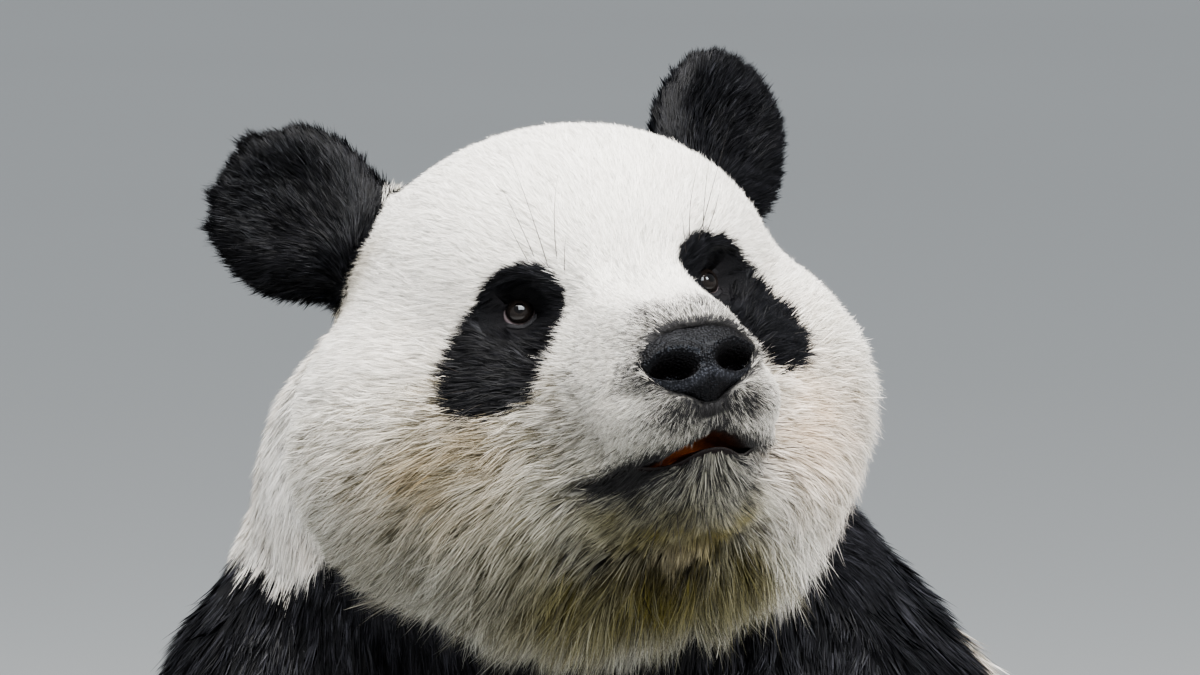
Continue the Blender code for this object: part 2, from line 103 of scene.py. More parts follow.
# SHADED is painted shade: the coat's colour in the creases between head and neck, behind the cheeks, under
# the jaw and at the ears' roots.
SHADED = np.array((0.30, 0.26, 0.18))
BLACK = np.array((0.0060, 0.0060, 0.0072))
GREY = np.array((0.034, 0.033, 0.034))
LIP = np.array((0.009, 0.006, 0.006))
LID = np.array((0.020, 0.019, 0.021))
MOUTH = np.array((0.30, 0.095, 0.030))
PAD = np.array((0.0060, 0.0056, 0.0060))
FLOOR_GREY = (0.56, 0.57, 0.57, 1.0)

SIDES = ("left", "right")
SIGNS = (("left", 1.0), ("right", -1.0))
SEED = 20260

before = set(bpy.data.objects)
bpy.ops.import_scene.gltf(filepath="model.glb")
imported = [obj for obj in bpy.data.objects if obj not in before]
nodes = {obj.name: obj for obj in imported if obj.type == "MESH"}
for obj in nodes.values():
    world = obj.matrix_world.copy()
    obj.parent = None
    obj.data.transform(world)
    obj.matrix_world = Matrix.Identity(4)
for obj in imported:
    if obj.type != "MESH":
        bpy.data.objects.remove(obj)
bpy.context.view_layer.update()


# ---- small maths
def ramp(value, start, end):
    """Goes smoothly from 0 at start to 1 at end."""
    share = np.clip((np.asarray(value, float) - start) / (end - start), 0.0, 1.0)
    return share * share * (3.0 - 2.0 * share)


def bell(*offsets):
    """1 where every offset is 0, and near 0 where one of them is past 2."""
    return np.exp(-sum(offset**2 for offset in offsets))


def unit(vectors):
    return vectors / np.maximum(np.linalg.norm(vectors, axis=-1, keepdims=True), 1e-12)


def mix(a, b, share):
    share = np.asarray(share, float)
    if share.ndim and 3 in np.shape(a)[-1:] + np.shape(b)[-1:]:
        share = share[..., None]
    return a * (1.0 - share) + b * share


def ripple(points, size, seed, waves=7):
    """A smooth, repeatable unevenness from -1 to 1, with bumps about `size` across."""
    rng = np.random.default_rng(seed)
    total = np.zeros(len(points))
    for _ in range(waves):
        direction = unit(rng.normal(size=3))
        pitch = size * rng.uniform(0.7, 1.5)
        total += np.sin(points @ direction * (2.0 * math.pi / pitch) + rng.uniform(0, 2 * math.pi))
    return np.clip(total / math.sqrt(waves) / 1.4, -1.0, 1.0)


def along(points, start, end):
    """How far each point is from start (0) to end (1), and its distance from that line."""
    start, end = np.asarray(start, float), np.asarray(end, float)
    axis = end - start
    share = np.clip((points - start) @ axis / (axis @ axis), 0.0, 1.0)
    return share, np.linalg.norm(points - (start + share[:, None] * axis), axis=1)


def centre_of(name):
    """The middle of a node's box."""
    low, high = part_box(name)
    return (low + high) / 2.0


# ---- places on the head
# They are in metres to the animal's left, forward and up from between its eyes, as its head is turned.
# The shapes and markings below are laid out in them: a ramp or a bell says where each one starts and ends.
HEAD_TURN = (
    Matrix.Rotation(HEAD_YAW, 3, "Z")
    @ Matrix.Rotation(-HEAD_PITCH, 3, "X")
    @ Matrix.Rotation(-HEAD_ROLL, 3, "Y")
)
HEAD_ORIGIN = (centre_of("eye_left") + centre_of("eye_right")) / 2.0
HEAD_ORIGIN = HEAD_ORIGIN - HEAD_TURN @ Vector((0.0, EYE_DEPTH, 0.0))
TURN = np.array(HEAD_TURN)
ORIGIN = np.array(HEAD_ORIGIN)
AXES = np.array((1.0, -1.0, 1.0))


def to_head(points):
    """World points as (side, forward, up) from the point between the eyes."""
    return ((points - ORIGIN) @ TURN) * AXES


def places(local):
    """The columns side, forward and up, and how far out to either side."""
    side, forward, up = local.T
    return side, forward, up, np.abs(side)


def mirrored(local):
    """The same places, all brought to the left side."""
    _, forward, up, wide = places(local)
    return np.stack([wide, forward, up], 1)


def eye_distance(local):
    """Distance from the nearer eye's centre."""
    spread = to_head(np.array([centre_of("eye_left")]))[0, 0]
    return np.linalg.norm(mirrored(local) - np.array((spread, -EYE_DEPTH, 0.0)), axis=1)


def ear_distance(local):
    """Distance from the nearer ear's centre."""
    return np.linalg.norm(mirrored(local) - EAR_CENTRE, axis=1)


def from_head(local):
    """World points of places on the head."""
    return (np.asarray(local, float) * AXES) @ TURN.T + ORIGIN


def turn_from_head(vectors):
    """World directions of directions on the head."""
    return (np.asarray(vectors, float) * AXES) @ TURN.T


# ---- meshes
def fast_mesh(name, points, corners):
    """A mesh from an array of points and one of triangles or quads."""
    mesh = bpy.data.meshes.new(name)
    mesh.vertices.add(len(points))
    mesh.vertices.foreach_set("co", np.asarray(points, np.float32).ravel())
    mesh.loops.add(corners.size)
    mesh.loops.foreach_set("vertex_index", np.asarray(corners, np.int32).ravel())
    mesh.polygons.add(len(corners))
    mesh.polygons.foreach_set("loop_start", np.arange(0, corners.size, corners.shape[1], dtype=np.int32))
    mesh.update(calc_edges=True)
    return mesh


def put(name, mesh):
    """Links the mesh as a smooth-shaded piece that rides with the model."""
    mesh.shade_smooth()
    piece = bpy.data.objects.new(name, mesh)
    bpy.context.scene.collection.objects.link(piece)
    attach(piece, "root")
    return piece


def show(name, points, faces, look, tint=None):
    """Puts a mesh of these points and faces in the scene, with its material and its own colours."""
    mesh = bpy.data.meshes.new(name)
    mesh.from_pydata(points.tolist(), [], faces)
    if tint is not None:
        colour_layer(mesh, "tint", tint)
    mesh.materials.append(look)
    return put(name, mesh)


def ring_faces(rings, sides, first=0):
    """Quads between neighbouring rings of points, which are numbered from `first`."""
    faces = []
    for low in range(first, first + (rings - 1) * sides, sides):
        for j in range(sides):
            k = (j + 1) % sides
            faces.append((low + j, low + k, low + sides + k, low + sides + j))
    return faces


def surface_of(mesh):
    """The mesh as a tree that finds its nearest place."""
    return BVHTree.FromPolygons(points_of(mesh).tolist(), [tuple(p.vertices) for p in mesh.polygons])


def points_of(mesh):
    points = np.empty(len(mesh.vertices) * 3, np.float32)
    mesh.vertices.foreach_get("co", points)
    return points.reshape(-1, 3).astype(float)


def set_points(mesh, points):
    mesh.vertices.foreach_set("co", points.astype(np.float32).ravel())
    mesh.update()


def normals_of(mesh):
    normals = np.empty(len(mesh.vertices) * 3, np.float32)
    mesh.vertex_normals.foreach_get("vector", normals)
    return normals.reshape(-1, 3).astype(float)


def edges_of(mesh):
    edges = np.empty(len(mesh.edges) * 2, np.int32)
    mesh.edges.foreach_get("vertices", edges)
    return edges.reshape(-1, 2)


def evened(values, edges, steps, share=0.5):
    """Each step moves each vertex's values part of the way to its neighbours' mean."""
    values = np.array(values, float)
    flat = values.reshape(len(values), -1)
    a, b = edges[:, 0], edges[:, 1]
    count = np.maximum(np.bincount(a, minlength=len(flat)) + np.bincount(b, minlength=len(flat)), 1)
    share = np.broadcast_to(np.asarray(share, float), (len(flat),))
    for _ in range(steps):
        for column in range(flat.shape[1]):
            now = flat[:, column]
            total = np.bincount(a, now[b], len(flat)) + np.bincount(b, now[a], len(flat))
            flat[:, column] = now + share * (total / count - now)
    return flat.reshape(values.shape)


def rounded(points, edges, rounds):
    """Evens the points without shrinking the shape: each step in is followed by a like step out."""
    for _ in range(rounds):
        points = evened(points, edges, 1, 0.55)
        points = evened(points, edges, 1, -0.57)
    return points


def without_spikes(points, edges):
    """Evens the few points that stand out from their neighbours by much of an edge's length."""
    span = np.linalg.norm(points[edges[:, 0]] - points[edges[:, 1]], axis=1)
    both = edges.ravel()
    count = np.maximum(np.bincount(both, minlength=len(points)), 1)
    size = np.bincount(both, np.repeat(span, 2), len(points)) / count
    off = np.linalg.norm(evened(points, edges, 1, 1.0) - points, axis=1)
    spiky = evened((off > 0.40 * size).astype(float), edges, 3)
    return evened(points, edges, 12, np.clip(4.0 * spiky, 0.0, 0.6))


def colour_layer(mesh, name, colours):
    layer = mesh.color_attributes.new(name, "FLOAT_COLOR", "POINT")
    full = np.ones((len(colours), 4), np.float32)
    full[:, :3] = colours
    layer.data.foreach_set("color", full.ravel())


def number_layer(mesh, name, values):
    layer = mesh.attributes.new(name, "FLOAT", "POINT")
    layer.data.foreach_set("value", np.asarray(values, np.float32))


# ---- materials
class Look:
    """A node material, built by short calls."""

    def __init__(self, name, **settings):
        self.material = bpy.data.materials.new(name)
        self.material.use_nodes = True
        self.tree = self.material.node_tree
        self.shader = self.tree.nodes["Principled BSDF"]
        for socket, value in settings.items():
            self.shader.inputs[socket.replace("_", " ")].default_value = value

    def node(self, kind, **values):
        made = self.tree.nodes.new(kind)
        for key, value in values.items():
            if hasattr(made, key):
                setattr(made, key, value)
            else:
                made.inputs[key.replace("_", " ")].default_value = value
        return made

    def link(self, source, target):
        self.tree.links.new(source, target)

    def pattern(self, kind, **values):
        """A texture laid over the object's own coordinates."""
        made = self.node(kind, **values)
        self.link(self.node("ShaderNodeTexCoord").outputs["Object"], made.inputs["Vector"])
        return made.outputs

    def noise(self, scale, detail=4.0):
        return self.pattern("ShaderNodeTexNoise", Scale=scale, Detail=detail, Roughness=0.6)["Fac"]

    def cells(self, scale):
        return self.pattern("ShaderNodeTexVoronoi", Scale=scale)["Distance"]

    def fit(self, value, low, high, to_low, to_high):
        """Maps low..high to to_low..to_high."""
        made = self.node("ShaderNodeMapRange", From_Min=low, From_Max=high, To_Min=to_low, To_Max=to_high)
        self.link(value, made.inputs["Value"])
        return made.outputs["Result"]

    def grain(self, scale, detail, low, high):
        """Fine noise, as a number from low to high."""
        return self.fit(self.noise(scale, detail), 0.3, 0.7, low, high)

    def colours(self, value, stops):
        made = self.node("ShaderNodeValToRGB")
        elements = made.color_ramp.elements
        while len(elements) < len(stops):
            elements.new(0.5)
        for element, (place, colour) in zip(elements, stops):
            element.position = place
            element.color = (*colour, 1.0)
        self.link(value, made.inputs["Fac"])
        return made.outputs["Color"]

    def attribute(self, name, output="Color"):
        return self.node("ShaderNodeAttribute", attribute_name=name).outputs[output]

    def scaled(self, colour, value):
        """The colour times a number."""
        made = self.node("ShaderNodeVectorMath", operation="SCALE")
        self.link(colour, made.inputs[0])
        self.link(value, made.inputs["Scale"])
        return made.outputs["Vector"]

    def colour(self, source):
        self.link(source, self.shader.inputs["Base Color"])

    def wear_tint(self, shade):
        """The mesh's own tint as the colour, times a number."""
        self.colour(self.scaled(self.attribute("tint"), shade))

    def roughness(self, source):
        self.link(source, self.shader.inputs["Roughness"])

    def bump(self, height, distance):
        made = self.node("ShaderNodeBump", Strength=1.0, Distance=distance)
        self.link(height, made.inputs["Height"])
        self.link(made.outputs["Normal"], self.shader.inputs["Normal"])


def skin_look():
    """Skin under the coat: it wears the coat's markings, with a fine grain of hair roots."""
    look = Look("skin_under_coat", Roughness=0.75, Specular_IOR_Level=0.15)
    look.wear_tint(look.grain(900.0, 5.0, 0.80, 1.08))
    look.bump(look.noise(1400.0, 6.0), 0.0012)
    return look.material


def bare_look():
    """Bare dark skin of lips and lids, damp and finely creased."""
    look = Look("bare_skin", Specular_IOR_Level=0.20)
    look.wear_tint(look.grain(700.0, 5.0, 0.7, 1.25))
    look.roughness(look.grain(420.0, 4.0, 0.36, 0.58))
    look.bump(look.noise(1100.0, 6.0), 0.0006)
    return look.material


def white_fur_look():
    look = Look(
        "white_fur",
        Roughness=0.60,
        Specular_IOR_Level=0.12,
        Sheen_Weight=0.03,
        Sheen_Roughness=0.4,
    )
    look.wear_tint(look.grain(1500.0, 3.0, 0.90, 1.06))
    return look.material


def black_fur_look():
    look = Look(
        "black_fur",
        Roughness=0.38,
        Specular_IOR_Level=0.12,
        Sheen_Weight=0.01,
        Sheen_Roughness=0.35,
        Sheen_Tint=(0.62, 0.72, 1.0, 1.0),
    )
    look.wear_tint(look.grain(1500.0, 3.0, 0.75, 1.3))
    return look.material


def floor_look():
    look = Look("studio_floor", Roughness=0.9)
    pale = look.node("ShaderNodeRGB")
    pale.outputs[0].default_value = FLOOR_GREY
    look.colour(look.scaled(pale.outputs[0], look.grain(0.25, 2.0, 0.985, 1.015)))
    return look.material


# ---- studio
def make_camera():
    across, along_ground = math.sin(CAMERA_AZIMUTH), math.cos(CAMERA_AZIMUTH)
    level, rise = math.cos(CAMERA_ELEVATION), math.sin(CAMERA_ELEVATION)
    right = Vector((along_ground, across, 0.0))
    back = Vector((across * level, -along_ground * level, rise))
    up = back.cross(right)
    aim = HEAD_ORIGIN + right * AIM_RIGHT + up * AIM_UP
    data = bpy.data.cameras.new("camera")
    data.sensor_width = SENSOR
    data.lens = SENSOR * CAMERA_DISTANCE / FRAME_WIDTH
    data.clip_end = 100.0
    camera = bpy.data.objects.new("camera", data)
    turn = Matrix((right, up, back)).transposed().to_4x4()
    camera.matrix_world = Matrix.Translation(aim + back * CAMERA_DISTANCE) @ turn
    bpy.context.scene.collection.objects.link(camera)
    bpy.context.scene.camera = camera


# Name, place, width and height, power, colour, whether it shines in reflections, whether it lights.
LAMPS = (
    ("overhead", (0.0, -0.8, 3.4), (3.0, 3.0), 345.0, (1.0, 0.985, 0.96), True, True),
    ("front_left", (-2.6, -3.4, 2.0), (1.8, 1.8), 24.0, (0.96, 0.98, 1.0), False, True),
    ("front_right", (3.0, -2.2, 2.2), (1.6, 1.6), 150.0, (1.0, 0.98, 0.95), False, True),
    ("sky_glint", (0.67, -2.16, 2.55), (1.5, 1.1), 80.0, (0.88, 0.94, 1.0), True, False),
    ("side_glint", (2.39, -1.27, 2.75), (0.7, 0.7), 45.0, (0.88, 0.94, 1.0), True, False),
)
SKY = (0.92, 0.96, 1.0, 1.0)
SKY_STRENGTH = 0.55
FLOOR_REACH = 45.0


def make_lamp(name, place, size, power, colour, shines, lights):
    """A square lamp that looks at the head."""
    data = bpy.data.lights.new(name, "AREA")
    data.shape = "RECTANGLE"
    data.size, data.size_y = size
    data.energy = power
    data.color = colour
    lamp = bpy.data.objects.new(name, data)
    lamp.location = place
    lamp.visible_glossy = shines
    lamp.visible_diffuse = lights
    lamp.rotation_euler = (HEAD_ORIGIN - Vector(place)).to_track_quat("-Z", "Y").to_euler()
    bpy.context.scene.collection.objects.link(lamp)


def make_studio():
    make_camera()
    for lamp in LAMPS:
        make_lamp(*lamp)
    world = bpy.data.worlds.new("studio")
    world.use_nodes = True
    world.node_tree.nodes["Background"].inputs["Color"].default_value = SKY
    world.node_tree.nodes["Background"].inputs["Strength"].default_value = SKY_STRENGTH
    bpy.context.scene.world = world
    bpy.context.scene.view_settings.look = "AgX - Medium High Contrast"
    mesh = bpy.data.meshes.new("studio_floor")
    corners = [(x * FLOOR_REACH, y * FLOOR_REACH, 0.0) for x, y in ((-1, -1), (1, -1), (1, 1), (-1, 1))]
    mesh.from_pydata(corners, [], [(0, 1, 2, 3)])
    floor = bpy.data.objects.new("studio_floor", mesh)
    bpy.context.scene.collection.objects.link(floor)
    mesh.materials.append(floor_look())


# ---- skin: the base
FLESH = ["head", "neck", "chest", "abdomen", "tail"]
LIMBS = ("ear", "upper_arm", "forearm", "forepaw", "thigh", "shin", "hind_foot")
FLESH += [f"{part}_{side}" for side in SIDES for part in LIMBS]
PLUGS = ["nose", "tongue", "eye_left", "eye_right"]


def ball(matrix, radii):
    """Points and faces of an ellipsoid."""
    bm = bmesh.new()
    bmesh.ops.create_icosphere(bm, subdivisions=3, radius=1.0)
    points = np.array([v.co for v in bm.verts]) * np.array(radii)
    faces = [tuple(v.index for v in f.verts) for f in bm.faces]
    bm.free()
    return points @ np.array(matrix.to_3x3()).T + np.array(matrix.translation), faces


def gather():
    """All flesh as loose solids, with its sockets and mouth plugged, and each face's owner."""
    head = FLESH.index("head")
    solids = []
    for name in FLESH + PLUGS:
        mesh = nodes[name].data
        owner = FLESH.index(name) if name in FLESH else head
        solids.append((points_of(mesh), [tuple(p.vertices) for p in mesh.polygons], owner))
    side, forward, up = MOUTH_CENTRE
    mouth = Matrix.Translation(HEAD_ORIGIN) @ HEAD_TURN.to_4x4()
    mouth = mouth @ Matrix.Translation((side, -forward, up)) @ Matrix.Rotation(MOUTH_TILT, 4, "X")
    solids.append((*ball(mouth, MOUTH_PLUG), head))
    for side, sign in SIGNS:
        out = HEAD_TURN @ Vector((sign * math.sin(EYE_OUTWARD), -math.cos(EYE_OUTWARD), 0.0))
        plug = Matrix.Translation(centre_of("eye_" + side) - out * SOCKET_BACK)
        solids.append((*ball(plug, SOCKET_PLUG), head))
    offset, faces, owners = 0, [], []
    for points, corners, owner in solids:
        faces += [tuple(i + offset for i in face) for face in corners]
        owners += [owner] * len(corners)
        offset += len(points)
    return np.concatenate([solid[0] for solid in solids]), faces, owners


def voxel_skin(points, faces):
    """One closed mesh around all the loose solids."""
    mesh = bpy.data.meshes.new("loose")
    mesh.from_pydata(points.tolist(), [], faces)
    loose = bpy.data.objects.new("loose", mesh)
    bpy.context.scene.collection.objects.link(loose)
    cover = loose.modifiers.new("cover", "REMESH")
    cover.mode = "VOXEL"
    cover.voxel_size = VOXEL
    graph = bpy.context.evaluated_depsgraph_get()
    made = bpy.data.meshes.new_from_object(loose.evaluated_get(graph))
    bpy.data.objects.remove(loose)
    bpy.data.meshes.remove(mesh)
    return made


def keep_outer_shell(bm):
    """Removes the closed pockets that the cuts between nodes may leave inside."""
    bm.verts.ensure_lookup_table()
    seen = set()
    shells = []
    for start in bm.verts:
        if start in seen:
            continue
        shell, front = {start}, [start]
        while front:
            vertex = front.pop()
            for edge in vertex.link_edges:
                other = edge.other_vert(vertex)
                if other not in shell:
                    shell.add(other)
                    front.append(other)
        seen |= shell
        shells.append(shell)
    shells.sort(key=len)
    for shell in shells[:-1]:
        bmesh.ops.delete(bm, geom=list(shell), context="VERTS")


def refine(bm, chosen):
    """Splits each face whose centre is chosen into four."""
    bm.faces.ensure_lookup_table()
    centres = np.array([f.calc_center_median() for f in bm.faces])
    picked = np.nonzero(chosen(to_head(centres)))[0]
    edges = {edge for i in picked for edge in bm.faces[i].edges}
    bmesh.ops.subdivide_edges(bm, edges=list(edges), cuts=1, use_grid_fill=True)


def in_box(local, out, back, low, high):
    """True less than `out` to either side, past `back` and between `low` and `high`."""
    _, forward, up, wide = places(local)
    return (forward > back) & (wide < out) & (up > low) & (up < high)


def in_face(local):
    return in_box(local, 0.13, -0.045, -0.20, 0.08)


def in_muzzle(local):
    return in_box(local, 0.075, 0.022, -0.165, 0.01) | (eye_distance(local) < 0.034)


def in_eyes(local):
    return eye_distance(local) < 0.0235


def in_mouth(local):
    return in_box(local, 0.062, 0.035, -0.128, -0.086)


def in_ears(local):
    return ear_distance(local) < EAR_RADIUS * 1.15


def make_base():
    """The smooth closed base mesh, finer at face, ears, eyes and mouth, and each vertex's owner."""
    points, faces, owners = gather()
    nearest = BVHTree.FromPolygons(points.tolist(), faces)
    mesh = voxel_skin(points, faces)
    bm = bmesh.new()
    bm.from_mesh(mesh)
    keep_outer_shell(bm)
    bm.to_mesh(mesh)
    points = evened(points_of(mesh), edges_of(mesh), 2)
    set_points(mesh, rounded(points, edges_of(mesh), SKIN_SMOOTHING))
    bm.free()
    bm = bmesh.new()
    bm.from_mesh(mesh)
    for chosen in (in_face, in_ears, in_muzzle, in_eyes, in_mouth):
        refine(bm, chosen)
    bm.to_mesh(mesh)
    bm.free()
    points = rounded(points_of(mesh), edges_of(mesh), FINE_SMOOTHING)
    set_points(mesh, points)
    owner = np.array([owners[nearest.find_nearest(p)[2]] for p in points.tolist()])
    return mesh, owner


# ---- coat: what grows where
# For each kind of node: hair length, tuft width, lean in degrees, tufts per square metre.
COAT = {
    "head": (0.020, 0.0020, 22.0, 200e3),
    "ear": (0.0175, 0.0014, 34.0, 540e3),
    "neck": (0.018, 0.0020, 20.0, 140e3),
    "chest": (0.038, 0.0038, 24.0, 50e3),
    "abdomen": (0.046, 0.0055, 24.0, 24e3),
    "tail": (0.040, 0.0045, 30.0, 40e3),
    "upper_arm": (0.030, 0.0033, 24.0, 60e3),
    "forearm": (0.036, 0.0043, 26.0, 36e3),
    "forepaw": (0.017, 0.0028, 24.0, 85e3),
    "thigh": (0.040, 0.0052, 24.0, 29e3),
    "shin": (0.034, 0.0047, 26.0, 33e3),
    "hind_foot": (0.017, 0.0030, 24.0, 80e3),
}
LENGTH, WIDTH, LEAN, DENSITY = range(4)
RISE = 0.62
LID_SKIN_DEPTH = 0.0024


def kind_of(name):
    """The node's name without its side."""
    for side in SIDES:
        name = name.removesuffix("_" + side)
    return name


def coat_depth(local, fields):
    """How deep the skin lies: as far as the tufts rise from it, more at ruff and nape, less on the neck."""
    side, forward, up, wide = places(local)
    depth = RISE * fields[:, LENGTH] * np.sin(fields[:, LEAN])
    ruff = ramp(up, -0.125, -0.175) * ramp(forward, -0.14, -0.08) * ramp(wide, 0.19, 0.15)
    nape = ramp(forward, -0.150, -0.200) * ramp(up, -0.16, -0.08) * ramp(forward, -0.34, -0.28)
    neck = ramp(up, -0.17, -0.24) * ramp(up, -0.60, -0.40)
    left_neck = ramp(side, 0.15, 0.22) * ramp(up, -0.20, -0.28) * ramp(up, -0.60, -0.45)
    depth = depth + 0.014 * ruff + 0.007 * nape - 0.004 * neck - 0.006 * left_neck
    return mix(LID_SKIN_DEPTH, depth, ramp(eye_distance(local), 0.018, 0.040))


# ---- skin: lids, lips and ears
def shape_lids(points):
    """Lids stand as a shell around each eyeball, open in an almond, with a fold above."""
    for side, sign in SIGNS:
        centre = np.array(centre_of("eye_" + side))
        out = unit(turn_from_head((sign * math.sin(EYE_OUTWARD), math.cos(EYE_OUTWARD), LID_RISE)))
        across = unit(turn_from_head((sign * math.cos(EYE_OUTWARD), -math.sin(EYE_OUTWARD), -LID_SLANT)))
        above = unit(np.cross(across, out)) * -sign
        above *= np.sign(above @ turn_from_head((0.0, 0.0, 1.0)))
        offset = points - centre
        radius = np.linalg.norm(offset, axis=1)
        near = np.nonzero((radius < LID_REACH) & (offset @ out > 0.0))[0]
        ray = unit(offset[near])
        turned = np.arccos(np.clip(ray @ out, -1.0, 1.0))
        wide = np.arctan2(ray @ across, ray @ out) / LID_WIDE
        tall = np.arctan2(ray @ above, ray @ out)
        tall = np.where(tall > 0, tall / LID_HIGH, tall / LID_LOW)
        reach = np.sqrt(wide**2 + tall**2 * (1.0 + 0.35 * wide**2))
        margin = LID_THICKNESS * (1.0 + 0.45 * bell((reach - 1.16) / 0.10))
        fold = mix(0.0008, 0.0014, ramp(tall, -0.2, 0.2)) * ramp(np.abs(tall), 0.10, 0.60)
        fold = fold * bell((reach - 1.42) / 0.08)
        lid = mix(EYE_RADIUS + margin - fold, radius[near], ramp(turned, *LID_BLEND))
        target = mix(EYE_RADIUS - EYE_HOLLOW, lid, ramp(reach, 0.93, 1.03))
        points[near] = centre + ray * target[:, None]
    return points


def lip_lines(side):
    """Heights of the upper and the lower lip's edge. They meet out to the mouth's corners."""
    wide = np.abs(side)
    upper = -0.0990 - 0.0105 * ramp(wide, 0.0, 0.030) - 0.0030 * ramp(wide, 0.028, 0.066)
    lower = -0.1090 - 0.0080 * ramp(wide, 0.002, 0.034)
    lower = mix(lower, upper, ramp(wide, 0.016, 0.040))
    return upper, lower


def shape_mouth(points):
    """A slightly open mouth: a pocket behind the lips, and a closed line out to the corners."""
    local = to_head(points)
    side, forward, up, wide = places(local)
    upper, lower = lip_lines(side)
    front = ramp(forward, 0.020, 0.045) * ramp(wide, 0.076, 0.066)
    room = np.minimum(upper - up, up - lower)
    pocket = 0.036 * ramp(room, -0.0006, 0.0022) * ramp(forward, 0.040, 0.075)
    line = 0.0042 * bell((up - (upper + lower) / 2.0) / 0.0022) * ramp(wide, 0.022, 0.036)
    swell = 0.0016 * bell((room + 0.0042) / 0.0026) * ramp(wide, 0.060, 0.040)
    local[:, 1] += front * (swell - pocket - line)
    chin = bell((up + 0.128) / 0.016, side / 0.030) * ramp(local[:, 1], 0.03, 0.07)
    local[:, 1] += 0.003 * chin
    return from_head(local)


def shape_folds(points, normals, shares):
    """Creases behind the cheeks and under the jaw, and a hollow at each eye's inner corner."""
    local = to_head(points)
    _, forward, up, wide = places(local)
    seam = 4.0 * shares["head"] * shares["neck"] * ramp(forward, -0.26, -0.20)
    sides = ramp(wide, 0.100, 0.130) * ramp(up, 0.055, 0.020) * ramp(up, -0.190, -0.130)
    valley = ramp(wide, 0.100, 0.130) * ramp(up, 0.065, 0.025) * ramp(up, -0.180, -0.130)
    valley = valley * bell((forward + 0.152) / 0.024)
    sway = 0.006 * np.sin(up / 0.030)
    folds = sum(bell((forward + place - sway) / 0.0065) for place in (0.185, 0.225))
    jaw = bell((up + 0.160) / 0.010) * ramp(wide, 0.080, 0.050) * ramp(forward, -0.02, 0.03)
    corner = np.linalg.norm(mirrored(local) - EYE_CORNER, axis=1)
    hollow = bell(corner / 0.0135) + 0.65 * ramp(eye_distance(local), 0.040, 0.020)
    ridge = bell(along(mirrored(local), *NOSE_RIDGE)[1] / 0.017)
    depth = 0.004 * seam + 0.015 * valley + 0.0050 * sides * folds
    depth = depth + 0.009 * jaw + 0.0060 * hollow - 0.0075 * ridge
    return points - normals * depth[:, None]


def crease_shade_share(local, shares):
    """1 in the creases between head and neck, behind the cheeks, under the jaw and at the ears' roots,
    where shade is painted on the coat.
    """
    _, forward, up, wide = places(local)
    seam = np.clip(4.0 * shares["head"] * shares["neck"], 0.0, 1.0) * ramp(forward, -0.26, -0.20)
    sides = ramp(wide, 0.100, 0.130) * ramp(up, 0.065, 0.025)
    folds = bell((forward + 0.150) / 0.017) + 0.5 * bell((forward + 0.205) / 0.012)
    jaw = bell((up + 0.164) / 0.013) * ramp(wide, 0.085, 0.050) * ramp(forward, -0.03, 0.03)
    ear_root_shade = ramp(ear_distance(local), 0.100, 0.070) * ramp(up, 0.085, 0.060) * ramp(wide, 0.095, 0.120)
    return np.clip(0.8 * seam + 0.6 * sides * folds + jaw + 0.8 * ear_root_shade, 0.0, 1.0)


NOSE_SEAT = 0.009


def seat_nose(points):
    """The skin meets the nose pad just behind its surface, and drops away behind the nostrils."""
    local = to_head(points)
    away = pad_distance(local)
    pad = pad_frame(local)
    pad[:, 1] = mix(NOSE_SEAT, pad[:, 1], ramp(away, 0.90, 1.16)) - 0.030 * ramp(away, 0.90, 0.82)
    return from_head(from_pad(pad))


def ear_axes(sign):
    """World directions of an ear: across, out of its hollow face, and to its tip."""
    turn = (
        HEAD_TURN
        @ Matrix.Rotation(sign * EAR_OUTWARD, 3, "Z")
        @ Matrix.Rotation(sign * EAR_LEAN, 3, "Y")
    )
    return [np.array(turn @ Vector(way)) for way in ((1, 0, 0), (0, -1, 0), (0, 0, 1))]


def shape_ears(points):
    """Each ear's front is hollowed to a shallow cup with a rounded rim, and the left ear stands taller."""
    for side, sign in SIGNS:
        centre = from_head(EAR_CENTRE * np.array((sign, 1.0, 1.0)))
        across, face, tip = ear_axes(sign)
        offset = points - centre
        x, y, z = offset @ across, offset @ face, offset @ tip
        away = np.sqrt((x / EAR_CUP) ** 2 + ((z - 0.002) / EAR_CUP) ** 2)
        if side == "left":
            near = ramp(np.linalg.norm(offset, axis=1), 0.075, 0.060)
            points = points + (LEFT_EAR_RISE * ramp(z, -0.01, 0.05) * near)[:, None] * tip
        cup = EAR_CUP_DEPTH * (1.0 - ramp(away, 0.25, 1.05)) * ramp(y, 0.0, 0.007)
        points = points - cup[:, None] * face
    return points


def coat_fields(owner, local, edges):
    """Each kind of node's share of each vertex, and the coat's length, width, lean and density there."""
    kinds = sorted(COAT)
    kind_at = np.array([kinds.index(kind_of(name)) for name in FLESH])[owner]
    shares = evened(np.eye(len(kinds))[kind_at], edges, FIELD_SMOOTHING)
    table = np.array([COAT[kind] for kind in kinds])
    table[:, LEAN] = np.radians(table[:, LEAN])
    fields = shares @ table
    shares = {name: shares[:, i] for i, name in enumerate(kinds)}
    return shares, head_coat(local, shares, fields)


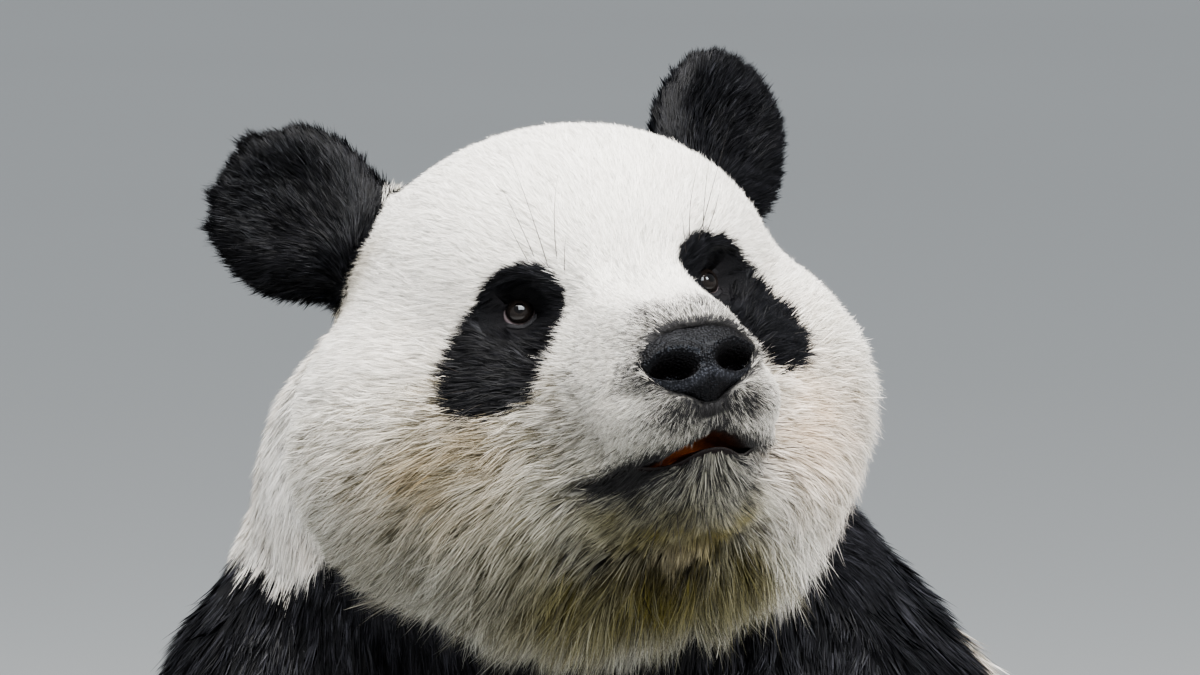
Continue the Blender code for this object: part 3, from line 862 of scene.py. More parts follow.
def make_skin(mesh, owner):
    """Insets the base by the coat's depth and gives it its features. Returns the fields of the coat too."""
    edges = edges_of(mesh)
    points = points_of(mesh)
    local = to_head(points)
    shares, fields = coat_fields(owner, local, edges)
    depth = evened(coat_depth(local, fields), edges, 4)
    depth = np.minimum(depth, 0.002 + 0.6 * np.maximum(points[:, 2], 0.0))
    fine = ramp(eye_distance(local), 0.020, 0.060)
    for _ in range(INSET_STEPS):
        points = points - normals_of(mesh) * (depth / INSET_STEPS)[:, None]
        points = evened(points, edges, 1, 0.25 + 0.25 * fine)
        set_points(mesh, points)
    points = shape_folds(points, normals_of(mesh), shares)
    points = evened(points, edges, 3, 0.4 * fine)
    points = evened(points, edges, 4, 0.5 * ramp(shares["ear"], 0.1, 0.5))
    points = without_spikes(points, edges)
    for shape in (shape_ears, shape_lids, shape_mouth, seat_nose):
        points = shape(points)
    points[:, 2] = np.maximum(points[:, 2], SKIN_ABOVE_FLOOR)
    set_points(mesh, points)
    return shares, fields


# ---- markings
EDGE_BLUR = 0.008
SKIN_SHADE = 0.62
BAND_BLUR = 0.022
PATCH_LINE = ((0.0640, 0.0040), (0.0930, -0.0365))
LEFT_PATCH_INNER = (0.0520, 0.0070)


def patch_share(local):
    """1 inside the black teardrop around each eye, below 0.5 outside. The left one reaches further in."""
    side, forward, up, wide = places(local)
    flat = np.stack([wide, up], 1)
    share, away = along(flat, *PATCH_LINE)
    edge = 0.5 + (mix(0.0232, 0.0240, share) - away) / EDGE_BLUR
    inner = 0.5 + (0.0215 - np.linalg.norm(flat - LEFT_PATCH_INNER, axis=1)) / EDGE_BLUR
    edge = np.where(side > 0, np.maximum(edge, inner), edge)
    return np.clip(edge, 0.0, 1.0) * ramp(forward, -0.045, -0.025)


def ear_share(local):
    """1 on the ears, down to their roots."""
    inward = (EAR_CENTRE[0] - places(local)[3]) / EAR_RADIUS
    reach = 0.0600 - 0.0060 * np.clip(inward, 0.0, 1.0)
    return np.clip(0.5 + (reach - ear_distance(local)) / EDGE_BLUR, 0.0, 1.0)


def band_share(points):
    """1 in the black band over shoulders and chest, below the white collar and above the white belly."""
    x, y, z = points.T
    behind = ramp(y, -0.150, -0.055)
    notch = 0.024 * bell((x + 0.100) / 0.022) - 0.013 * bell((x + 0.156) / 0.018)
    notch = notch + 0.014 * ramp(x, -0.172, -0.200)
    collar = 0.748 + 0.22 * x + 0.008 * ripple(points, 0.09, 3) + notch * (1.0 - behind)
    low = mix(0.500, 0.630 + 0.20 * x, behind) - 0.020 * ramp(np.abs(x), 0.16, 0.02) * behind
    low = low + 0.012 * ripple(points, 0.11, 4)
    under = np.clip(0.5 + (collar - z) / BAND_BLUR, 0.0, 1.0)
    over = np.clip(0.5 + (z - low) / BAND_BLUR, 0.0, 1.0)
    return under * over


def black_share(points, local, shares):
    """How black the animal is at each point: above 0.5 it is black."""
    head = shares["head"] + shares["ear"]
    face = np.maximum(patch_share(local), ear_share(local)) * ramp(head, 0.05, 0.3)
    face = np.maximum(face, ramp(shares["ear"], 0.55, 0.85))
    arms = shares["upper_arm"] + shares["forearm"] + shares["forepaw"]
    trunk = shares["neck"] + shares["chest"] + shares["abdomen"] + 0.6 * arms
    band = band_share(points) * ramp(trunk, 0.15, 0.45)
    knee = np.clip(0.5 + (-0.215 - points[:, 1] + 0.02 * ripple(points, 0.1, 5)) / 0.03, 0.0, 1.0)
    legs = shares["shin"] + shares["hind_foot"] + shares["thigh"] * knee
    return np.clip(np.maximum.reduce([face, band, ramp(arms, 0.35, 0.6), ramp(legs, 0.3, 0.6)]), 0.0, 1.0)


def pepper_share(local):
    """How many of the short hairs around nose, lips and chin are dark."""
    side, forward, up, wide = places(local)
    above = ramp(up, -0.052, -0.040) * ramp(forward, 0.070, 0.104) * ramp(wide, 0.044, 0.020)
    lip = bell((up + 0.088) / 0.0135) * ramp(forward, 0.062, 0.100) * ramp(wide, 0.050, 0.022)
    rim = bell((up - lip_lines(side)[0]) / 0.0035) * ramp(forward, 0.015, 0.040) * ramp(wide, 0.078, 0.062)
    chin = ramp(up, -0.162, -0.128) * ramp(up, -0.100, -0.110) * ramp(forward, 0.028, 0.062)
    chin = chin * ramp(wide, 0.058, 0.036)
    ring = ramp(pad_distance(local), 1.24, 1.00)
    right_corner = bell((side + 0.045) / 0.018, (up + 0.1140) / 0.0066) * ramp(forward, 0.0, 0.03)
    total = 0.60 * ring + 0.62 * above + 0.90 * lip + 0.405 * rim + 0.58 * chin + right_corner
    return np.clip(total, 0.0, 1.0)


def head_share(shares):
    return np.clip(shares["head"] + shares["ear"], 0.0, 1.0)


def past_ruff(side, up):
    """How far to the left of a slanted line down the ruff a place lies."""
    return side + 0.8 * (up + 0.150)


def white_tone(points, local, shares):
    """The white coat's tints: ochre on the right cheek, pinkish on the left, olive under the chin. Painted
    shade darkens the lower right cheek, the place under the chin and the creases.
    """
    side, forward, up, wide = places(local)
    head = head_share(shares)
    cloud = np.clip(0.5 + 0.4 * ripple(points, 0.050, 11) + 0.35 * ripple(points, 0.014, 14), 0.0, 1.2)
    right_cheek = bell((wide - 0.125) / 0.040, (up + 0.082) / 0.042) * ramp(side, 0.05, -0.05)
    left_cheek = bell((side - 0.105) / 0.040, (up + 0.098) / 0.040)
    both = bell((wide - 0.105) / 0.060, (up + 0.060) / 0.070)
    crease = bell((side + 0.050) / 0.030, (up + 0.134) / 0.014) * ramp(forward, 0.0, 0.03)
    far = past_ruff(side, up)
    under = bell((side / 0.100) ** 2, (up + 0.163) / 0.032)
    under = under * ramp(forward, -0.10, -0.03) * ramp(far, 0.085, 0.040)
    stains = (
        (TAN, 0.72 * right_cheek * (0.45 + 0.75 * cloud)),
        (PINK, 0.85 * left_cheek * (0.5 + 0.6 * cloud)),
        (CREAM, 0.20 * both * (0.4 + 0.8 * cloud)),
        (OLIVE, 0.92 * np.maximum(0.75 * crease, under) * (0.65 + 0.6 * cloud)),
    )
    tone = np.broadcast_to(WHITE, points.shape).copy()
    for colour, share in stains:
        tone = mix(tone, colour, np.clip(share, 0.0, 1.0) * head)
    # Painted shade: the lower right cheek and the place under the chin are darkened by CHEEK_SHADE.
    low = ramp(up, -0.040, -0.125) * ramp(side, 0.065, -0.01)
    low = np.maximum(low, ramp(up, -0.135, -0.165) * ramp(far, 0.08, 0.03)) * head
    tone = tone * (1.0 - low[:, None] * (1.0 - CHEEK_SHADE))
    # Painted shade in the creases.
    tone = mix(tone, SHADED, 0.70 * crease_shade_share(local, shares))
    grime = 0.16 * ripple(points, 0.12, 12) + 0.10 * ripple(points, 0.035, 13)
    body = mix(tone, CREAM * 0.9, np.clip(0.18 - 0.12 * shares["neck"] + grime, 0.0, 1.0))
    return mix(body, tone, np.clip(head + 0.25, 0.0, 1.0))


def painted_gap_shade(local, shares):
    """Painted shade between the hairs, as how light the coat stays there: darkest under the chin and on the
    lower right cheek, lightest on the brow and neck.
    """
    side, forward, up, _ = places(local)
    tone = mix(0.87, 0.50 - 0.26 * ramp(side, 0.05, -0.03), ramp(up, 0.020, -0.075))
    chin = ramp(up, -0.100, -0.150) * ramp(forward, -0.15, -0.08) * ramp(past_ruff(side, up), 0.085, 0.040)
    tone = mix(tone, 0.08, chin)
    tone = mix(tone, 0.50, ramp(forward, 0.020, 0.060) * ramp(up, -0.010, -0.045))
    return mix(mix(0.66, 0.94, shares["neck"]), tone, shares["head"])


def skin_tint(points, local, shares, black):
    """The skin's colours, which the coat takes up at its roots."""
    side, forward, up, _ = places(local)
    tone = white_tone(points, local, shares) * SKIN_SHADE
    tone = mix(tone, GREY, 0.75 * pepper_share(local) * head_share(shares))
    tone = mix(tone, PAD, 0.95 * ramp(pad_distance(local), 1.10, 0.98))
    lower = lip_lines(side)[1]
    tone = mix(tone, LIP, ramp(np.abs(up - lower), 0.009, 0.004) * ramp(forward, 0.03, 0.05))
    return mix(tone, BLACK, ramp(black, 0.42, 0.58))


def bare_parts(local):
    """1 on lids and lips, the colour there, and 1 on lips and inside the mouth, where no hair grows."""
    side, forward, up, wide = places(local)
    eye = ramp(eye_distance(local), EYE_RADIUS + 0.0046, EYE_RADIUS + 0.0032)
    upper, lower = lip_lines(side)
    room = np.minimum(upper - up, up - lower)
    front = ramp(forward, 0.020, 0.040) * ramp(wide, 0.074, 0.066)
    edge = ramp(lower - up, 0.0024, 0.0014) * ramp(up, upper, lower) * ramp(wide, 0.040, 0.030)
    lips = np.maximum(ramp(room, -0.0016, -0.0006), edge) * front
    inside = ramp(room, 0.0004, 0.0022) * ramp(forward, 0.113, 0.100) * front
    colour = mix(np.broadcast_to(LIP, local.shape), LID, eye)
    return np.maximum(eye, lips), mix(colour, MOUTH, inside), np.maximum(lips, inside)


# ---- coat: the lie of the hair
WHORL = np.array((0.0, 0.150, -0.058))
CHIN_TOP = np.array((0.0, 0.085, -0.108))
EAR_ROOT = EAR_CENTRE + np.array((-0.040, 0.0, -0.045))


def limb_directions():
    """For each node of flesh, the way its hair points."""
    ways = {"head": (0, 0, -1), "neck": (0, 0.35, -1), "chest": (0, 0, -1), "abdomen": (0, 0.1, -1)}
    ways["tail"] = centre_of("tail") - centre_of("abdomen")
    for side, sign in SIGNS:
        ways["ear_" + side] = Vector((sign, 0.0, 1.0))
        ways["upper_arm_" + side] = centre_of("forearm_" + side) - centre_of("upper_arm_" + side)
        ways["forearm_" + side] = centre_of("forepaw_" + side) - centre_of("upper_arm_" + side)
        ways["forepaw_" + side] = Vector((0.0, -1.0, -0.35))
        ways["thigh_" + side] = centre_of("shin_" + side) - centre_of("abdomen")
        ways["shin_" + side] = centre_of("hind_foot_" + side) - centre_of("thigh_" + side)
        ways["hind_foot_" + side] = Vector((sign * 0.2, -1.0, 0.5))
    return np.array([np.array(Vector(ways[name]).normalized()) for name in FLESH])


def head_lie(local):
    """On the head the hair runs back from the nose, out from the chin, and droops at cheeks and ruff."""
    side, forward, up, wide = places(local)
    below = ramp(up, -0.108, -0.122) * ramp(forward, -0.02, 0.04) * ramp(wide, 0.085, 0.050)
    way = mix(unit(local - WHORL), unit(local - CHIN_TOP), below)
    droop = 0.55 * ramp(up, -0.092, -0.140) + 1.00 * ramp(up, -0.128, -0.180) - 0.14 * ramp(up, 0.01, -0.05)
    way[:, 0] += 0.5 * ramp(up, -0.09, -0.16) * np.sign(side) * ramp(wide, 0.0, 0.05)
    way[:, 2] -= droop * ramp(forward, 0.085, 0.010)
    return unit(way)


def ear_lie(local):
    """On the ears the hair runs out from the root to the rim."""
    way = unit(mirrored(local) - EAR_ROOT)
    way[:, 0] *= np.sign(local[:, 0])
    return way


def flattened(ways, normals):
    """Each direction laid along the skin."""
    return ways - (ways * normals).sum(1)[:, None] * normals


def lie_of_coat(points, normals, owner, shares, edges):
    """The way the hair points along the skin at each vertex."""
    local = to_head(points)
    way = evened(limb_directions()[owner], edges, LIE_SMOOTHING)
    way = mix(way, turn_from_head(head_lie(local)), ramp(shares["head"], 0.2, 0.8))
    way = mix(way, turn_from_head(ear_lie(local)), ramp(shares["ear"], 0.3, 0.8))
    way = evened(unit(flattened(way, normals)), edges, 6)
    return unit(flattened(way, normals))


def head_coat(local, shares, fields):
    """Length, width, lean and density over the head, from the velvet of the muzzle to the ruff."""
    _, forward, up, _ = places(local)
    muzzle = ramp(forward, 0.010, 0.060)
    length = mix(0.024, 0.0125, ramp(up, -0.070, 0.030))
    length = mix(length, 0.038, ramp(up, -0.095, -0.160) * ramp(forward, 0.070, 0.010))
    length = mix(length, 0.0074, muzzle * ramp(up, -0.125, -0.105))
    length = mix(length, 0.0135, muzzle * ramp(up, -0.112, -0.135))
    length = mix(0.0048, length, ramp(eye_distance(local), 0.015, 0.045))
    width = np.clip(0.0009 + length * 0.024, 0.0010, 0.0016)
    lean = mix(math.radians(22.0), math.radians(15.0), ramp(up, -0.06, 0.03))
    lean = mix(lean, math.radians(26.0), ramp(up, -0.095, -0.150))
    front = ramp(forward, -0.150, -0.085)
    density = mix(130e3, 640e3, front)
    density = mix(density, 430e3, ramp(up, -0.02, -0.08) * front)
    density = mix(density, 900e3, muzzle * ramp(up, -0.13, -0.10))
    head = ramp(shares["head"], 0.2, 0.8)
    for column, values in ((LENGTH, length), (WIDTH, width), (LEAN, lean), (DENSITY, density)):
        fields[:, column] = mix(fields[:, column], values, head)
    return fields


# ---- coat: tufts
def scatter(mesh, density, rng):
    """Roots spread over the skin by the density. Returns the triangle and the weights of its corners."""
    mesh.calc_loop_triangles()
    tris = np.empty(len(mesh.loop_triangles) * 3, np.int32)
    mesh.loop_triangles.foreach_get("vertices", tris)
    tris = tris.reshape(-1, 3)
    points = points_of(mesh)
    a, b, c = points[tris[:, 0]], points[tris[:, 1]], points[tris[:, 2]]
    area = np.linalg.norm(np.cross(b - a, c - a), axis=1) / 2.0
    wanted = area * density[tris].mean(1)
    number = np.floor(wanted + rng.random(len(wanted))).astype(int)
    chosen = np.repeat(np.arange(len(tris)), number)
    u, v = rng.random(len(chosen)), rng.random(len(chosen))
    flip = u + v > 1.0
    u[flip], v[flip] = 1.0 - u[flip], 1.0 - v[flip]
    weights = np.stack([1.0 - u - v, u, v], 1)
    return tris[chosen], weights


def at_roots(values, corners, weights):
    """The skin's values at each root, weighed from the corners of its triangle."""
    picked = values[corners]
    if picked.ndim == 2:
        return (picked * weights).sum(1)
    return (picked * weights[:, :, None]).sum(1)


# A tuft's shape: where its strands bend, its roots across its width, and the pair each strand grows from.
BEND = 0.5
ROOTS = (-0.6, -0.2, 0.2, 0.6)
SHORT_STRANDS = (0, 0, 1, 2, 2)
LONG_STRANDS = (0, 1, 1, 2)
HALF_STRAND = 0.14
CURL = 0.42
ROOT_DEPTH = 0.0002
ROOT_DEPTH_SHARE = 0.025
# How uneven the tufts are. Each range is a share of the measure that the skin gives.
SPIN = 0.15
LENGTHS = (0.72, 1.25)
WIDTHS = (0.75, 1.25)
LEANS = (0.55, 1.45)
TONES = (0.86, 1.06)
REACHES = (0.70, 1.12)
STRAY = 0.05
# On the body and on the head: how far the edge of the black strays, and how bright black hair is.
EDGE_STRAY = (0.17, 0.08)
NIGHT = (2.2, 0.9)
# Share of tufts that are a short undercoat painted darker, as shade between the locks; more where the gap
# shade is deep.
SHADED_UNDERCOAT_SHARE = 0.52
# How many tufts share a lock, and how many triangles a piece may have.
SMALL_LOCK = 12
LARGE_LOCK = 70
MOST_TRIANGLES = 199000
TUFT_SHAPE = ("root", "normal", "run", "length", "width", "lean", "bend")
TUFT_MARKS = ("tint", "gap", "pepper", "dark")


def is_long(name):
    """Only the cheeks' pieces have tufts whose strands bend."""
    return name.startswith("cheek")


def strands_of(long):
    """For each strand of a tuft, the left one of the two root points it grows from."""
    return LONG_STRANDS if long else SHORT_STRANDS


def tuft_corners(long):
    """Triangles of one tuft: a fan of pointed strands from four root points, each with a bend if long."""
    tris = []
    count = len(strands_of(long))
    for k, left in enumerate(strands_of(long)):
        if long:
            near, far, tip = 4 + 2 * k, 5 + 2 * k, 4 + 2 * count + k
            tris += [(left, near, left + 1), (left + 1, near, far), (near, tip, far)]
        else:
            tris.append((left, 4 + k, left + 1))
    return np.array(tris)


def tuft_layout(long):
    """How far along and across the tuft each of its points lies, and the strand it belongs to."""
    count = len(strands_of(long))
    fans = np.linspace(-1.0, 1.0, count)
    steps, sides, strand = [0.0] * 4, list(ROOTS), [0, 1, 2, 3]
    if long:
        steps += [BEND] * (2 * count)
        sides += [0.7 * fan + j for fan in fans for j in (-HALF_STRAND, HALF_STRAND)]
        strand += [k for k in range(count) for _ in range(2)]
    steps += [1.0] * count
    return np.array(steps), np.array(sides + list(0.8 * fans)), np.array(strand + list(range(count)))


def tuft_points(hairs, long, rng):
    """The points of every tuft, and their shading normals."""
    root, normal, way = hairs.root, hairs.normal, hairs.run
    length, width, lean, bend = hairs.length, hairs.width, hairs.lean, hairs.bend
    across = np.cross(normal, way)
    number = len(root)

    def spine(step):
        step = np.broadcast_to(step, (number,))
        height = np.sin(lean) * (step - CURL * step**2) * length - ROOT_DEPTH - ROOT_DEPTH_SHARE * length
        reach = np.cos(lean) * step * length
        return root + way * reach[:, None] + normal * height[:, None] + bend * (step**2 * length)[:, None]

    rows, shading = [], []
    for side in ROOTS:
        back = way * (rng.normal(0.0, 0.06, number) * length)[:, None]
        rows.append(spine(0.0) + across * (width * side)[:, None] + back)
        shading.append(unit(normal + 0.4 * side * across))
    middles, tips, middle_shading, tip_shading = [], [], [], []
    for fan in np.linspace(-1.0, 1.0, len(strands_of(long))):
        reach = rng.uniform(*REACHES, number)
        drift = across * (fan * width * 0.75 + rng.normal(0.0, 0.065, number) * length)[:, None]
        drift = drift + normal * (rng.normal(0.0, 0.050, number) * length)[:, None]
        shine = normal + across * (0.35 * fan + rng.normal(0.0, 0.30, number))[:, None] + 0.15 * way
        shine = unit(shine + way * rng.normal(0.0, 0.22, number)[:, None])
        for side in (-HALF_STRAND, HALF_STRAND):
            middles.append(spine(BEND * reach) + drift * 0.55 + across * (width * side)[:, None])
            middle_shading.append(unit(shine + 1.6 * side * across))
        tips.append(spine(reach) + drift)
        tip_shading.append(shine)
    if long:
        rows, shading = rows + middles, shading + middle_shading
    return np.stack(rows + tips, 1), np.stack(shading + tip_shading, 1)


def hugged(tree, tips, height, slack):
    """How each tip must move so that the hair follows the skin and doesn't fly off past an edge."""
    move = np.zeros_like(tips)
    for i, tip in enumerate(tips.tolist()):
        spot, facing, _, away = tree.find_nearest(tip)
        outside = (Vector(tip) - spot).dot(facing) > 0.0
        gap = (away if outside else -away) - height[i]
        if gap > 0.0:
            move[i] = (Vector(spot) - Vector(tip)) * (gap * slack[i] / away)
    return move


def clump(root, tips, length, rng, pull, share_of):
    """Draws the tips of neighbouring tufts together into locks."""
    leaders = rng.choice(len(root), max(1, len(root) // share_of), replace=False)
    tree = KDTree(len(leaders))
    for i, leader in enumerate(leaders):
        tree.insert(root[leader], i)
    tree.balance()
    mine = leaders[np.array([tree.find(p)[1] for p in root.tolist()])]
    gap = tips[mine] - tips
    reach = np.linalg.norm(gap, axis=1)
    share = pull * np.clip(length * 0.8 / np.maximum(reach, 1e-6), 0.0, 1.0)
    return gap * share[:, None]


def unwrap_axis(name, root):
    """Two places on the axis that a piece is unrolled about: a limb's, the head's, or an upright one."""
    if name.startswith(("arm", "leg")):
        ends = ("upper_arm_", "forepaw_") if name.startswith("arm") else ("thigh_", "hind_foot_")
        return [np.array(centre_of(end + name.split("_")[1])) for end in ends]
    if name.startswith(("cheek", "brow", "muzzle", "nape")):
        start = ORIGIN + turn_from_head((0.0, -0.085, -0.03))
        return start, start + turn_from_head((0.0, 0.0, 1.0))
    start = root.mean(0)
    return start, start + np.array((0.0, 0.0, 1.0))


def unwrapped(root, axis_start, axis_end):
    """Where each root lies on the body part unrolled about its own axis, from 0 to 1 both ways."""
    axis = unit(axis_end - axis_start)
    offset = root - axis_start
    length = offset @ axis
    side = unit(np.cross(axis, (0.31, 0.87, 0.38)))
    up = np.cross(axis, side)
    around = np.arctan2(offset @ up, offset @ side) / (2.0 * math.pi) + 0.5
    flat = np.stack([around, length], 1)
    low, high = flat.min(0), flat.max(0)
    return 0.005 + 0.985 * (flat - low) / np.maximum(high - low, 1e-9)


TUFT_ON_MAP = 0.003
# WARM_DEPTH: exponents that make the painted shade at the tufts' roots warmer.
WARM_DEPTH = np.array((1.0, 1.02, 1.12))
# Painted shade of the short undercoat tufts: warm on the body, grey on the muzzle.
UNDERCOAT_SHADE = np.array((0.31, 0.292, 0.235))
UNDERCOAT_SHADE_GREY = np.array((0.38, 0.38, 0.38))


def strand_tints(hairs, long, rng):
    """Each tuft's colour: painted shade at its root, warmer the deeper it is, uneven between strands, some
    strands dark in peppered fur.
    """
    steps, _, strand = tuft_layout(long)
    count, kinds = len(hairs.root), strand.max() + 1
    uneven = (1.14 - 0.55 * rng.random((count, kinds)) ** 2.0)[:, strand]
    # Painted shade: each tuft darkens from its tip to its gap shade at the root, and WARM_DEPTH makes the
    # deeper shade warmer.
    shade = mix(hairs.gap[:, None], 1.10, steps[None, :]) * mix(1.0, uneven, ramp(steps, 0.0, 0.4)[None, :])
    shade = shade[:, :, None] ** WARM_DEPTH
    specks = (rng.random((count, kinds)) < hairs.pepper[:, None])[:, strand] * 1.0
    colours = hairs.tint[:, None, :] * shade
    return mix(colours, GREY * rng.uniform(0.15, 1.3, (count, kinds))[:, strand, None], specks)


def make_coat_piece(name, hairs, rng, looks):
    """One joined mesh of tufts with its markings, shading normals and unwrap."""
    long = is_long(name)
    shape, shading = tuft_points(hairs, long, rng)
    shape[:, :, 2] = np.maximum(shape[:, :, 2], FLOOR_CLEAR)
    count, per = shape.shape[:2]
    corners = (tuft_corners(long)[None] + (np.arange(count) * per)[:, None, None]).reshape(-1, 3)
    mesh = fast_mesh("coat_" + name, shape.reshape(-1, 3), corners)
    colour_layer(mesh, "tint", strand_tints(hairs, long, rng).reshape(-1, 3))
    steps, sides, _ = tuft_layout(long)
    base = unwrapped(hairs.root, *unwrap_axis(name, hairs.root))
    flat = (base[:, None, :] + np.stack([sides, steps], 1) * TUFT_ON_MAP).reshape(-1, 2)
    layer = mesh.uv_layers.new(name="OFBake", do_init=False)
    layer.uv.foreach_set("vector", flat[corners.ravel()].astype(np.float32).ravel())
    for look in looks:
        mesh.materials.append(look)
    index = np.repeat(hairs.dark.astype(np.int32), len(tuft_corners(long)))
    mesh.polygons.foreach_set("material_index", index)
    piece = put("coat_" + name, mesh)
    mesh.normals_split_custom_set_from_vertices(shading.reshape(-1, 3).astype(np.float32))


def piece_of(points, local, owner):
    """The coat piece each root belongs to."""
    side, forward, up, wide = places(local)
    names = np.array([kind_of(name) for name in FLESH])[owner]
    body_side = np.where(points[:, 0] > 0, "left", "right")
    head_side = np.where(side > 0, "left", "right")
    out = np.full(len(points), "trunk_front", object)
    out[np.isin(names, ("chest", "abdomen", "tail")) & (points[:, 1] > -0.06)] = "trunk_back"
    out[names == "neck"] = "neck"
    for group, kinds in (("arm", LIMBS[1:4]), ("leg", LIMBS[4:])):
        inside = np.isin(names, kinds)
        out[inside] = np.char.add(group + "_", body_side[inside])
    ears = names == "ear"
    out[ears] = np.char.add("ear_", head_side[ears])
    head = names == "head"
    out[head] = "nape"
    front = head & (forward > -0.125)
    out[front & (up > -0.030)] = "brow"
    low = front & (up <= -0.030)
    out[low] = np.char.add("cheek_", head_side[low])
    out[front & (forward > 0.020) & (wide < 0.07)] = "muzzle"
    return out


def hair_density(points, local, fields):
    """Tufts for each square metre: none on lids, lips and nose pad, fewer near the floor."""
    lid = ramp(eye_distance(local), EYE_RADIUS + 0.0024, EYE_RADIUS + 0.0046)
    density = fields[:, DENSITY] * (1.0 - ramp(bare_parts(local)[2], 0.4, 0.9))
    density = density * lid * ramp(pad_distance(local), 0.90, 0.95)
    return density * ramp(points[:, 2], SKIN_ABOVE_FLOOR, 0.012)


def root_hairs(mesh, owner, shares, fields, rng):
    """Roots all over the skin, with what the skin says of each."""
    points, normals = points_of(mesh), normals_of(mesh)
    local = to_head(points)
    way = lie_of_coat(points, normals, owner, shares, edges_of(mesh))
    _, forward, up, _ = places(local)
    shaggy = ramp(up, -0.120, -0.165) * shares["head"]
    cheeks = ramp(up, -0.02, -0.07) * ramp(forward, 0.05, 0.02) * shares["head"]
    corners, weights = scatter(mesh, hair_density(points, local, fields), rng)

    def at(values):
        return at_roots(values, corners, weights)

    return SimpleNamespace(
        root=at(points),
        here=to_head(at(points)),
        normal=unit(at(normals)),
        run=at(way),
        fields=at(fields),
        shaggy=at(shaggy),
        cheeks=at(cheeks),
        shares={name: at(values) for name, values in shares.items()},
        owner=owner[corners[:, 0]],
    )


def size_hairs(hairs, rng):
    """Each tuft's own direction, length, width and lean."""
    root, number = hairs.root, len(hairs.root)
    spin = rng.normal(0.0, SPIN, number) + 0.22 * ripple(root, 0.034, 31) + 0.14 * ripple(root, 0.011, 32)
    run = unit(flattened(hairs.run, hairs.normal))
    hairs.run = run * np.cos(spin)[:, None] + np.cross(hairs.normal, run) * np.sin(spin)[:, None]
    uneven = rng.uniform(*LENGTHS, number) + 1.1 * hairs.shaggy * rng.random(number) ** 2.5
    longer = 1.0 + 0.45 * hairs.cheeks * (1.0 - hairs.shaggy)
    hairs.length = hairs.fields[:, LENGTH] * uneven * longer
    hairs.width = hairs.fields[:, WIDTH] * rng.uniform(*WIDTHS, number)
    hairs.lean = hairs.fields[:, LEAN] * rng.uniform(*LEANS, number)


def tint_hairs(hairs, rng):
    """Which tufts are black, how peppered each is, and its colour. Some white ones are a short undercoat,
    painted darker as the shade between the locks.
    """
    number, shares = len(hairs.root), hairs.shares
    head = head_share(shares)
    worn = hairs.root + hairs.run * (0.45 * hairs.length)[:, None]
    there = to_head(worn)
    darkness = black_share(worn, there, shares) + 0.09 * ripple(hairs.root, 0.011, 33) * head
    darkness = darkness + np.clip(rng.normal(0.0, 1.0, number), -2.2, 2.2) * mix(*EDGE_STRAY, head)
    hairs.dark = darkness > 0.5
    hairs.pepper = pepper_share(there) * head
    # gap: the painted shade between the hairs, which darkens each tuft toward its root.
    hairs.gap = painted_gap_shade(hairs.here, shares)
    # Painted shade: short undercoat tufts, darkened to stand for the shade between the locks.
    under = (rng.random(number) < SHADED_UNDERCOAT_SHARE * (1.0 - hairs.gap)) * ~hairs.dark
    hairs.length = hairs.length * (1.0 - 0.2 * under)
    tone = white_tone(worn, there, shares) * rng.uniform(*TONES, number)[:, None]
    locks = 0.28 * ripple(hairs.root, 0.007, 34) + np.clip(rng.normal(0.0, 0.30, number), -0.5, 0.6)
    tone = tone * (1.0 + hairs.shaggy * locks)[:, None]
    muzzle = ramp(hairs.here[:, 1], 0.020, 0.060) * head
    shaded = tone * mix(np.broadcast_to(UNDERCOAT_SHADE, tone.shape), UNDERCOAT_SHADE_GREY, muzzle)
    tone = mix(tone, shaded, under * mix(0.35, 1.0, ramp(hairs.gap, 0.75, 0.40)))
    tone = mix(tone, GREY, 0.22 * hairs.pepper)
    night = BLACK * ((0.5 + 3.2 * rng.random(number) ** 3) * mix(*NIGHT, head))[:, None]
    hairs.tint = np.where(hairs.dark[:, None], night, tone)


def bend_hairs(mesh, hairs, rng):
    """Tufts droop, draw together into locks, small ones and then large, and keep near the skin."""
    root, length, lean, up = hairs.root, hairs.length, hairs.lean, hairs.here[:, 2]
    bend = rng.normal(0.0, STRAY, (len(root), 3))
    bend[:, 2] -= 0.22 * np.clip(length / 0.040, 0.0, 1.0)
    tips = root + hairs.run * (length * np.cos(lean))[:, None]
    tips = tips + hairs.normal * (length * np.sin(lean) * (1.0 - CURL))[:, None]
    pull = 0.62 * ramp(length, 0.010, 0.026) + 0.20 * hairs.shaggy
    drawn = clump(root, tips, length, rng, pull, SMALL_LOCK)
    pull = 0.22 * hairs.cheeks + 0.28 * hairs.shaggy
    drawn = drawn + clump(root, tips + drawn, length, rng, pull, LARGE_LOCK)
    front = ramp(hairs.here[:, 1], -0.10, -0.04) * head_share(hairs.shares)
    slack = 1.0 - 0.90 * ramp(up, -0.13, -0.17) * front
    height = length * np.sin(lean) * RISE + 0.0015
    hug = hugged(surface_of(mesh), tips + drawn + bend * length[:, None], height, slack)
    hairs.bend = bend + (drawn + hug) / length[:, None]


def make_coat(mesh, owner, shares, fields, looks):
    """Grows the whole coat on the skin."""
    rng = np.random.default_rng(SEED)
    hairs = root_hairs(mesh, owner, shares, fields, rng)
    size_hairs(hairs, rng)
    tint_hairs(hairs, rng)
    bend_hairs(mesh, hairs, rng)
    group = piece_of(hairs.root, hairs.here, hairs.owner)
    for name in sorted(set(group)):
        mine = np.nonzero(group == name)[0]
        most = MOST_TRIANGLES // len(tuft_corners(is_long(name)))
        if len(mine) > most:
            mine = rng.choice(mine, most, replace=False)
        picked = SimpleNamespace(**{key: getattr(hairs, key)[mine] for key in TUFT_SHAPE + TUFT_MARKS})
        make_coat_piece(name, picked, rng, looks)


